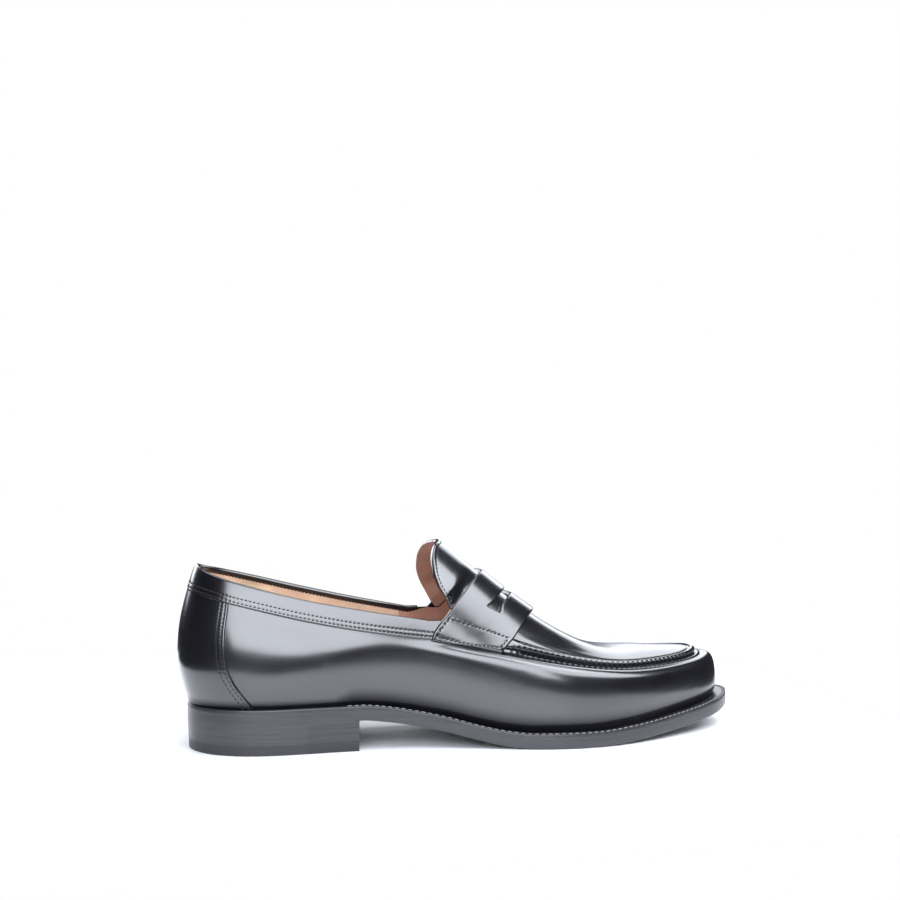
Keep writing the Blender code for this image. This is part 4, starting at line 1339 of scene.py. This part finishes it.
def strap_place(side, up, across):
    """Row and level of points of the strap: up 0 is its bottom and 1 the ridge, across 0 its rear edge."""
    names = ("rear", "front") if side < 0 else ("medial_rear", "medial_front")
    rear, front = (smooth_profile(STRAP_EDGE["up"], STRAP_EDGE[name], up) for name in names)
    row = row_at(rear + (front - rear) * across)
    below = STRAP_BELOW_LINE[0] + (STRAP_BELOW_LINE[1] - STRAP_BELOW_LINE[0]) * across
    wall = np.linalg.norm(style_line.at(side, row) - feather_point(side, row), axis=-1)
    arch = np.linalg.norm(ridge_line.at(-1, row) - style_line.at(side, row), axis=-1)
    climb = up * (arch + below) - below
    return row, np.where(climb > 0, climb / arch, climb / wall)


def ahead_of_strap(side, rows, level, low, high):
    """Rises from 0 to 1 between two distances in front of the strap's rear edge."""
    edge_row, edge_level = strap_place(side, np.linspace(0.0, 1.0, 80), 0.0)
    edge = np.interp(np.interp(level, edge_level, edge_row), FINE_ROWS, FINE_X)
    return between(np.interp(rows, FINE_ROWS, FINE_X) - edge, low, high)


def strap_lift(mark, arch):
    """Height of the strap's underside: it rests on tongue and apron, and its ends come down to the upper."""
    near_end = np.clip((arch - mark) / STRAP_RAMP, 0, 1)
    rest = 2 * BENT_LIFT + TONGUE_THICK
    return GAP * 0.2 + (rest - GAP * 0.2) * near_end * (2 - near_end)


def sew_strap(thread, side, arch, from_end, share, seams):
    """Row of stitches at distances from the strap's end and shares of its width."""
    at = strap_place(side, from_end / arch, share)
    lift = strap_lift(arch - from_end, arch) + STRAP_THICK - STRAP_THREAD_SUNK
    path, normals = lifted(side, *at, lift), last_normal(side, *at)
    stitches(thread, path, normals, seams.pitch / MM, STRAP_THREAD * seams.width / MM, 0.8, 0.2)


class LOAFER_OT_strap(bpy.types.Operator):
    """Strap over the instep with its slot, sewn down at both ends"""

    bl_idname = "loafer.strap"
    bl_label = "Strap"

    def execute(self, context):
        seams = context.scene.loafer_seams
        pitch, dent = seams.pitch / MM, seams.dent / MM
        patches, thread = Patches(), Patches()
        rear, front = STRAP_EDGE["rear"][-1], STRAP_EDGE["front"][-1]
        middle = row_at(0.5 * (rear + front))
        arch = float(np.linalg.norm(ridge_line.at(-1, middle) - style_line.at(-1, middle)) * 1.08)
        width = front - rear
        slot = np.linspace(0, SLOT_HALF_LENGTH, 70)
        past_slot = SLOT_HALF_LENGTH + np.array([0.15, 0.4, 0.8])
        plain = np.linspace(SLOT_HALF_LENGTH + 1.5, arch - 12, 24)
        sewn = np.linspace(arch - 12, arch - 0.8, 46)[1:]
        marks = np.concatenate([slot, past_slot, plain, sewn, arch - np.array([0.5, 0.25, 0.1, 0])])
        flare = np.clip((marks - (SLOT_HALF_LENGTH - SLOT_END_LENGTH)) / SLOT_END_LENGTH, 0, 1)
        half = SLOT_HALF_WIDTH + (SLOT_END_HALF_WIDTH - SLOT_HALF_WIDTH) * flare
        half = np.where(marks > SLOT_HALF_LENGTH + 0.01, SLOT_END_HALF_WIDTH, half)[:, None]
        edge = NEAR_STRAP_EDGE / (width / 2)
        lane = np.concatenate([edge, np.linspace(edge[-1], 0.94, 16)[1:], [0.96, 0.975, 0.988, 1.0]])
        room = 0.5 - half / width
        across = np.concatenate([lane * room, 1 - (lane * room)[:, ::-1]], 1)
        first_row, last_row = STRAP_SEAM_ROWS
        grids = []
        for side in (-1, 1):
            up = np.broadcast_to(1 - marks[:, None] / arch, across.shape)
            row, level = strap_place(side, up, across)
            from_edge = np.minimum(across, 1 - across) * width
            from_end = arch - marks[:, None]
            aside = np.maximum(np.abs(across - 0.5) * width - half, 0)
            from_slot = np.hypot(aside, np.maximum(marks[:, None] - SLOT_HALF_LENGTH, 0))
            shape = rounded(np.minimum(np.minimum(from_edge, from_end), from_slot), 0.7)
            base = strap_lift(marks[:, None], arch)
            height = base + STRAP_THICK * shape
            run = across * width
            for place in STRAP_SEAM_ROWS:
                height = height + groove(from_end - place, run, pitch, dent) * between(from_edge, 1.2, 2.0)
            upright = between(from_end, 1.2, 2.0) * (1 - between(from_end, 7.9, 8.7))
            height = height + groove(from_edge - STRAP_SEAM_INSET, from_end, pitch, dent) * upright
            grids.append((lifted(side, row, level, height), lifted(side, row, level, base)))
            inset = STRAP_SEAM_INSET / width
            for place in STRAP_SEAM_ROWS:
                share = np.linspace(STRAP_SEAM_INSET, width - STRAP_SEAM_INSET, 90) / width
                sew_strap(thread, side, arch, np.full(90, place), share, seams)
            for share in (inset, 1 - inset):
                ends = np.linspace(first_row - 0.1, last_row, 30)
                sew_strap(thread, side, arch, ends, np.full(30, share), seams)
        outer = np.concatenate([grids[0][0][::-1], grids[1][0][1:]])
        inner = np.concatenate([grids[0][1][::-1], grids[1][1][1:]])
        rows, columns = outer.shape[:2]
        centre, hole = len(marks) - 1, len(lane) - 1
        inside = len(slot) - 1
        for grid, flip in ((outer, False), (inner, True)):
            quads = np.array(grid_quads(rows, columns)).reshape(rows - 1, columns - 1, 4)
            keep = np.ones((rows - 1, columns - 1), bool)
            keep[centre - inside : centre + inside, hole] = False
            chosen = quads[keep]
            patches.add(grid, (chosen[:, ::-1] if flip else chosen).tolist())
        closed_edge(patches, outer, inner)
        low, high = centre - inside, centre + inside
        ring = [(r, hole) for r in range(low, high + 1)] + [(r, hole + 1) for r in range(high, low - 1, -1)]
        ring.append(ring[0])
        r, c = np.array(ring).T
        patches.grid(np.stack([inner[r, c], outer[r, c]], 1))
        settle(patches.make("strap_calf", [finish_named("polished_box_calf")]), "black_calf", "strap")
        settle(thread.make("strap_stitches", [finish_named("black_waxed_thread")]), "black_calf")
        return {"FINISHED"}


def loop_stations(line, low, spacing):
    """Sides and rows of a line from a row on the lateral side, round the toe, to the same medial row."""
    lateral = rows_every(line, -1, low, LAST_ROW, spacing)
    medial = rows_every(line, 1, low, LAST_ROW, spacing)[::-1][1:]
    return [(-1, lateral), (1, medial)]


def edge_points(line, stations, inset):
    """Points along a line, moved in from it by an inset. Heights are left to the caller."""
    return np.concatenate([line.at(side, rows) - inset * line.outward(side, rows) for side, rows in stations])


def heel_stations(end, spacing):
    """Sides and rows of the sole's edge from the lateral side, round the heel, to the medial one."""
    lateral, medial = (rows_every(sole_edge, side, 0, end, spacing) for side in (-1, 1))
    return [(-1, lateral[::-1]), (1, medial[1:])]


def rim_strip(stations, marks=None):
    """Cross-sections of the strip between upper and sole edge: its outer corner is bevelled."""
    low, high = OUTSOLE_THICK, WELT_TOP
    # Distance in from the edge, and share of the height.
    profile = [(0.05, 0.0), (0.0, 0.1), (0.0, 0.8), (0.12, 0.93), (0.42, 1.0), (0.8, 1.0)]
    profile += [(d, 1.0) for d in np.linspace(1.1, 3.4, 10)]
    outer = edge_points(sole_edge, stations, 0.0)
    along = travelled(outer)
    rings = []
    for inset, share in profile:
        ring = edge_points(sole_edge, stations, inset)
        ring[:, 2] = underside_height(ring[:, 0]) + low + (high - low) * share
        if marks is not None and share == 1.0:
            ring[:, 2] += marks(inset, along)
        rings.append(ring)
    inner = edge_points(feather_line, stations, -0.05)
    inner[:, 2] = underside_height(inner[:, 0]) + high
    rings += [inner, inner - (0.0, 0.0, high - low)]
    return np.stack(rings, 1)


class LOAFER_OT_welt(bpy.types.Operator):
    """Stitched welt with its wheeled edge, and the plain rand round the heel"""

    bl_idname = "loafer.welt"
    bl_label = "Welt and heel rand"

    def execute(self, context):
        seams = context.scene.loafer_seams
        pitch = seams.welt_pitch / MM
        patches, thread, rand = Patches(), Patches(), Patches()
        stations = loop_stations(sole_edge, row_of_edge(WELT_END_X), 0.42)

        def wheeled(inset, along):
            """The wheel presses a notch at each stitch and between each two, and the seam lies in a channel."""
            notch = (0.5 + 0.5 * np.cos(math.tau * along / (pitch / 2))) ** 4
            near = hump(inset - 1.1, 1.3)
            return -0.22 * notch * near - 0.22 * hump(inset - WELT_SEAM_INSET, 0.5)

        patches.tube(rim_strip(stations, wheeled))
        path = edge_points(sole_edge, stations, WELT_SEAM_INSET)
        path[:, 2] = underside_height(path[:, 0]) + WELT_TOP - 0.12
        stitches(thread, path, np.broadcast_to(UP, path.shape), pitch, seams.welt_width / MM)
        rand.tube(rim_strip(heel_stations(row_of_edge(WELT_END_X), 0.8)))
        finish = [finish_named("waxed_edge_dressing")]
        settle(patches.make("welt_strip", finish, sharp=35), "black_sole_edge", "welt")
        settle(rand.make("heel_rand_strip", finish, sharp=35), "black_sole_edge", "heel_rand")
        settle(thread.make("welt_stitches", [finish_named("grey_linen_thread")]), "black_sole_edge")
        return {"FINISHED"}


def sheet_between(patches, line, inset, rows, above):
    """Face across a closed outline, at a height above the outsole's underside."""
    lateral, medial = (line.at(s, rows) - inset * line.outward(s, rows) for s in (-1, 1))
    share = np.linspace(0, 1, 25)[None, :, None]
    grid = lateral[:, None] * (1 - share) + medial[:, None] * share
    grid[..., 2] = underside_height(grid[..., 0]) + above
    patches.grid(grid)


class LOAFER_OT_sole(bpy.types.Operator):
    """Leather outsole with a dressed edge, and the sock inside the shoe"""

    bl_idname = "loafer.sole"
    bl_label = "Outsole and sock"

    def execute(self, context):
        patches = Patches()
        rows = rows_every(sole_edge, -1, 0, LAST_ROW, 1.0)
        stations = [(-1, rows), (1, rows[::-1][1:])]
        # Section of the dressed edge: distance in from the outline, and height.
        profile = [(0.0, OUTSOLE_THICK), (0.0, 1.1), (0.12, 0.5), (0.45, 0.12), (0.9, 0.0)]
        rings = []
        for inset, height in profile:
            # Over the heel the sole's lower corner isn't bevelled.
            ring, flush = (edge_points(sole_edge, stations, depth) for depth in (inset, 0.05 * inset))
            over_heel = 1 - between(ring[:, 0], HEEL_BREAST_X - 3.0, HEEL_BREAST_X + 1.0)
            ring += (flush - ring) * over_heel[:, None]
            ring[:, 2] = underside_height(ring[:, 0]) + height
            rings.append(ring)
        patches.grid(np.stack(rings, 1))
        sheet_between(patches, sole_edge, 0.9, rows, 0.0)
        sheet_between(patches, sole_edge, 0.0, rows, OUTSOLE_THICK)
        made = patches.make("outsole_leather", [finish_named("waxed_edge_dressing")], sharp=60)
        settle(made, "black_sole_edge", "outsole")
        sock = Patches()
        inset = UPPER_WALL - 0.1
        base = OUTSOLE_THICK + GAP
        top = base + INSOLE_THICK
        rings = []
        for more, height in ((0.0, base), (0.0, top - 0.2), (0.3, top + 0.2), (0.9, top + 0.4)):
            ring = edge_points(feather_line, stations, inset + more)
            ring[:, 2] = underside_height(ring[:, 0]) + height
            rings.append(ring)
        sock.grid(np.stack(rings, 1))
        sheet_between(sock, feather_line, inset + 0.9, rows, top + 0.4)
        sheet_between(sock, feather_line, inset, rows, base)
        made = sock.make("sock_lining", [finish_named("tan_lining_leather")], sharp=60)
        settle(made, "tan_leather", "insole")
        return {"FINISHED"}


def heel_outline(inset):
    """Outline of the heel block, drawn in by an inset, with a breast that curves a little inward."""
    stations = heel_stations(row_of_edge(HEEL_BREAST_X), 1.0)
    points = edge_points(sole_edge, stations, inset)[:, :2]
    points[[0, -1], 0] = HEEL_BREAST_X
    share = np.linspace(0, 1, 31)[1:-1]
    y = points[-1, 1] + (points[0, 1] - points[-1, 1]) * share
    x = HEEL_BREAST_X - BREAST_DEPTH * 4 * share * (1 - share)
    return np.vstack([points, np.stack([x, y], 1)])


class LOAFER_OT_heel(bpy.types.Operator):
    """Heel of leather lifts on a rubber top piece"""

    bl_idname = "loafer.heel"
    bl_label = "Heel"

    def execute(self, context):
        room = HEEL_UNDER_SOLE - TOP_PIECE_THICK
        rubber = ("moulded_heel_rubber", "black_rubber")
        leather = ("waxed_edge_dressing", "black_sole_edge")
        layers = [("heel_top_piece", 0.0, TOP_PIECE_THICK, rubber, TOP_PIECE_BEVEL)]
        for i in range(LIFT_COUNT):
            low = TOP_PIECE_THICK + room * i / LIFT_COUNT
            high = low + room / LIFT_COUNT
            layers.append((f"heel_lift_{i + 1}", low, high, leather, LIFT_BEVEL))
        for node, low, high, (finish, slot), bevel in layers:
            patches, rings = Patches(), []
            for z, inset in ((low, bevel), (low + bevel, 0.0), (high - bevel, 0.0), (high, bevel)):
                taper = HEEL_TAPER * (1 - z / HEEL_UNDER_SOLE)
                outline = heel_outline(taper + inset)
                outline = outline + unit(outline.mean(0) - outline) * inset
                rings.append(np.column_stack([outline, np.full(len(outline), z)]))
            patches.tube(np.array(rings))
            made = patches.make(node + "_dressed", [finish_named(finish)], sharp=60)
            settle(made, slot, node)
        return {"FINISHED"}


# Studio.


def softbox(name, place, aim, size, power):
    """Rectangular light at a place, turned to what it lights. Metres and watts."""
    data = bpy.data.lights.new(name, "AREA")
    data.shape = "RECTANGLE"
    data.size, data.size_y = size
    data.energy = power
    data.color = linear("#F2F6FF")
    made = bpy.data.objects.new(name, data)
    made.location = place
    made.rotation_mode = "QUATERNION"
    made.rotation_quaternion = (Vector(aim) - Vector(place)).to_track_quat("-Z", "Y")
    made.visible_camera = False
    bpy.context.scene.collection.objects.link(made)


def add_camera(studio):
    """Camera at the photograph's place, turned so that AIM_POINT is seen at AIM_PIXEL."""
    a, e = studio.azimuth, studio.elevation
    back = np.array([math.sin(a) * math.cos(e), -math.cos(a) * math.cos(e), math.sin(e)])
    right = np.array([math.cos(a), math.sin(a), 0.0])
    up = np.cross(back, right)
    eye = np.array(AIM_POINT) + studio.distance * back
    focal = studio.lens / SENSOR_WIDTH * IMAGE_SIZE
    middle = IMAGE_SIZE / 2
    yaw = math.atan((AIM_PIXEL[0] - middle) / focal)
    pitch = math.atan((AIM_PIXEL[1] - middle) / focal * math.cos(yaw))
    look = -back
    look, right = look * math.cos(yaw) - right * math.sin(yaw), right * math.cos(yaw) + look * math.sin(yaw)
    look, up = look * math.cos(pitch) + up * math.sin(pitch), up * math.cos(pitch) - look * math.sin(pitch)
    data = bpy.data.cameras.new("camera")
    data.sensor_width = SENSOR_WIDTH
    data.lens = studio.lens
    made = bpy.data.objects.new("camera", data)
    turn = np.eye(4)
    turn[:3, :3] = np.column_stack([right, up, -look])
    turn[:3, 3] = eye
    made.matrix_world = Matrix(turn.tolist())
    bpy.context.scene.collection.objects.link(made)
    bpy.context.scene.camera = made


class LOAFER_OT_studio(bpy.types.Operator):
    """Pale floor, softboxes and the camera"""

    bl_idname = "loafer.studio"
    bl_label = "Studio"

    def execute(self, context):
        studio = context.scene.loafer_studio
        colours = context.scene.loafer_colours
        mesh = bpy.data.meshes.new("floor")
        corners = [(-0.27, -0.22, 0.0), (0.24, -0.22, 0.0), (0.24, 0.34, 0.0), (-0.27, 0.34, 0.0)]
        mesh.from_pydata(corners, [], [(0, 1, 2, 3)])
        mesh.materials.append(studio_paper("matt_studio_paper", tuple(colours.floor)))
        floor = bpy.data.objects.new("floor", mesh)
        bpy.context.scene.collection.objects.link(floor)
        softbox("front_softbox", (-0.245, -0.72, 0.34), (-0.245, 0.0, -0.04), (0.83, 0.4), studio.front_light)
        softbox("side_softbox", (0.36, -0.36, 0.62), (0.0, 0.0, 0.05), (0.75, 0.5), studio.side_light)
        softbox("rear_softbox", (0.44, 0.78, 0.41), (0.44, 0.0, 0.05), (0.36, 0.56), studio.rear_light)
        softbox("floor_softbox", (-0.4, 0.7, 0.36), (-0.1, 0.0, 0.0), (0.6, 0.5), studio.floor_light)
        softbox("top_light", (0.0, 0.05, 1.4), (0.0, 0.0, 0.0), (1.6, 1.6), studio.top_light)
        world = bpy.data.worlds.new("room")
        context.scene.world = world
        world.use_nodes = True
        tree = world.node_tree
        tree.nodes.clear()
        seen = add_node(tree, "ShaderNodeLightPath").outputs["Is Camera Ray"]
        tint = (*linear("#E4E8F0"), 1.0)
        room = add_node(tree, "ShaderNodeBackground", {"Color": tint, "Strength": studio.fill})
        wall = add_node(tree, "ShaderNodeBackground", {"Color": (1.0, 1.0, 1.0, 1.0), "Strength": 1.0})
        mix = add_node(tree, "ShaderNodeMixShader", {0: seen, 1: room.outputs[0], 2: wall.outputs[0]})
        add_node(tree, "ShaderNodeOutputWorld", {"Surface": mix.outputs[0]})
        context.scene.view_settings.view_transform = "Standard"
        add_camera(studio)
        return {"FINISHED"}


PIECES = (
    LOAFER_OT_upper,
    LOAFER_OT_lining,
    LOAFER_OT_collar_band,
    LOAFER_OT_heel_counter,
    LOAFER_OT_apron,
    LOAFER_OT_tongue,
    LOAFER_OT_strap,
    LOAFER_OT_welt,
    LOAFER_OT_sole,
    LOAFER_OT_heel,
    LOAFER_OT_studio,
)


class LOAFER_PT_panel(bpy.types.Panel):
    """Lists the pieces of the loafer"""

    bl_label = "Penny loafer"
    bl_idname = "LOAFER_PT_panel"
    bl_space_type = "VIEW_3D"
    bl_region_type = "UI"
    bl_category = "Loafer"

    def draw(self, context):
        layout = self.layout
        for settings in ("loafer_colours", "loafer_seams", "loafer_studio"):
            group = getattr(context.scene, settings)
            box = layout.box()
            for name in group.__annotations__:
                box.prop(group, name)
        for piece in PIECES:
            layout.operator(piece.bl_idname)


SETTINGS = {"loafer_colours": LoaferColours, "loafer_seams": LoaferSeams, "loafer_studio": LoaferStudio}


def register():
    """Adds the settings, the operators and the panel."""
    for made in (*SETTINGS.values(), *PIECES, LOAFER_PT_panel):
        bpy.utils.register_class(made)
    for name, group in SETTINGS.items():
        setattr(bpy.types.Scene, name, PointerProperty(type=group))


def unregister():
    """Takes them away again."""
    for name in SETTINGS:
        delattr(bpy.types.Scene, name)
    for made in reversed((*SETTINGS.values(), *PIECES, LOAFER_PT_panel)):
        bpy.utils.unregister_class(made)


def main():
    """Dresses the shoe piece by piece."""
    register()
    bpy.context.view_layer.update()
    for piece in PIECES:
        group, name = piece.bl_idname.split(".")
        getattr(getattr(bpy.ops, group), name)()


if __name__ == "__main__":
    main()
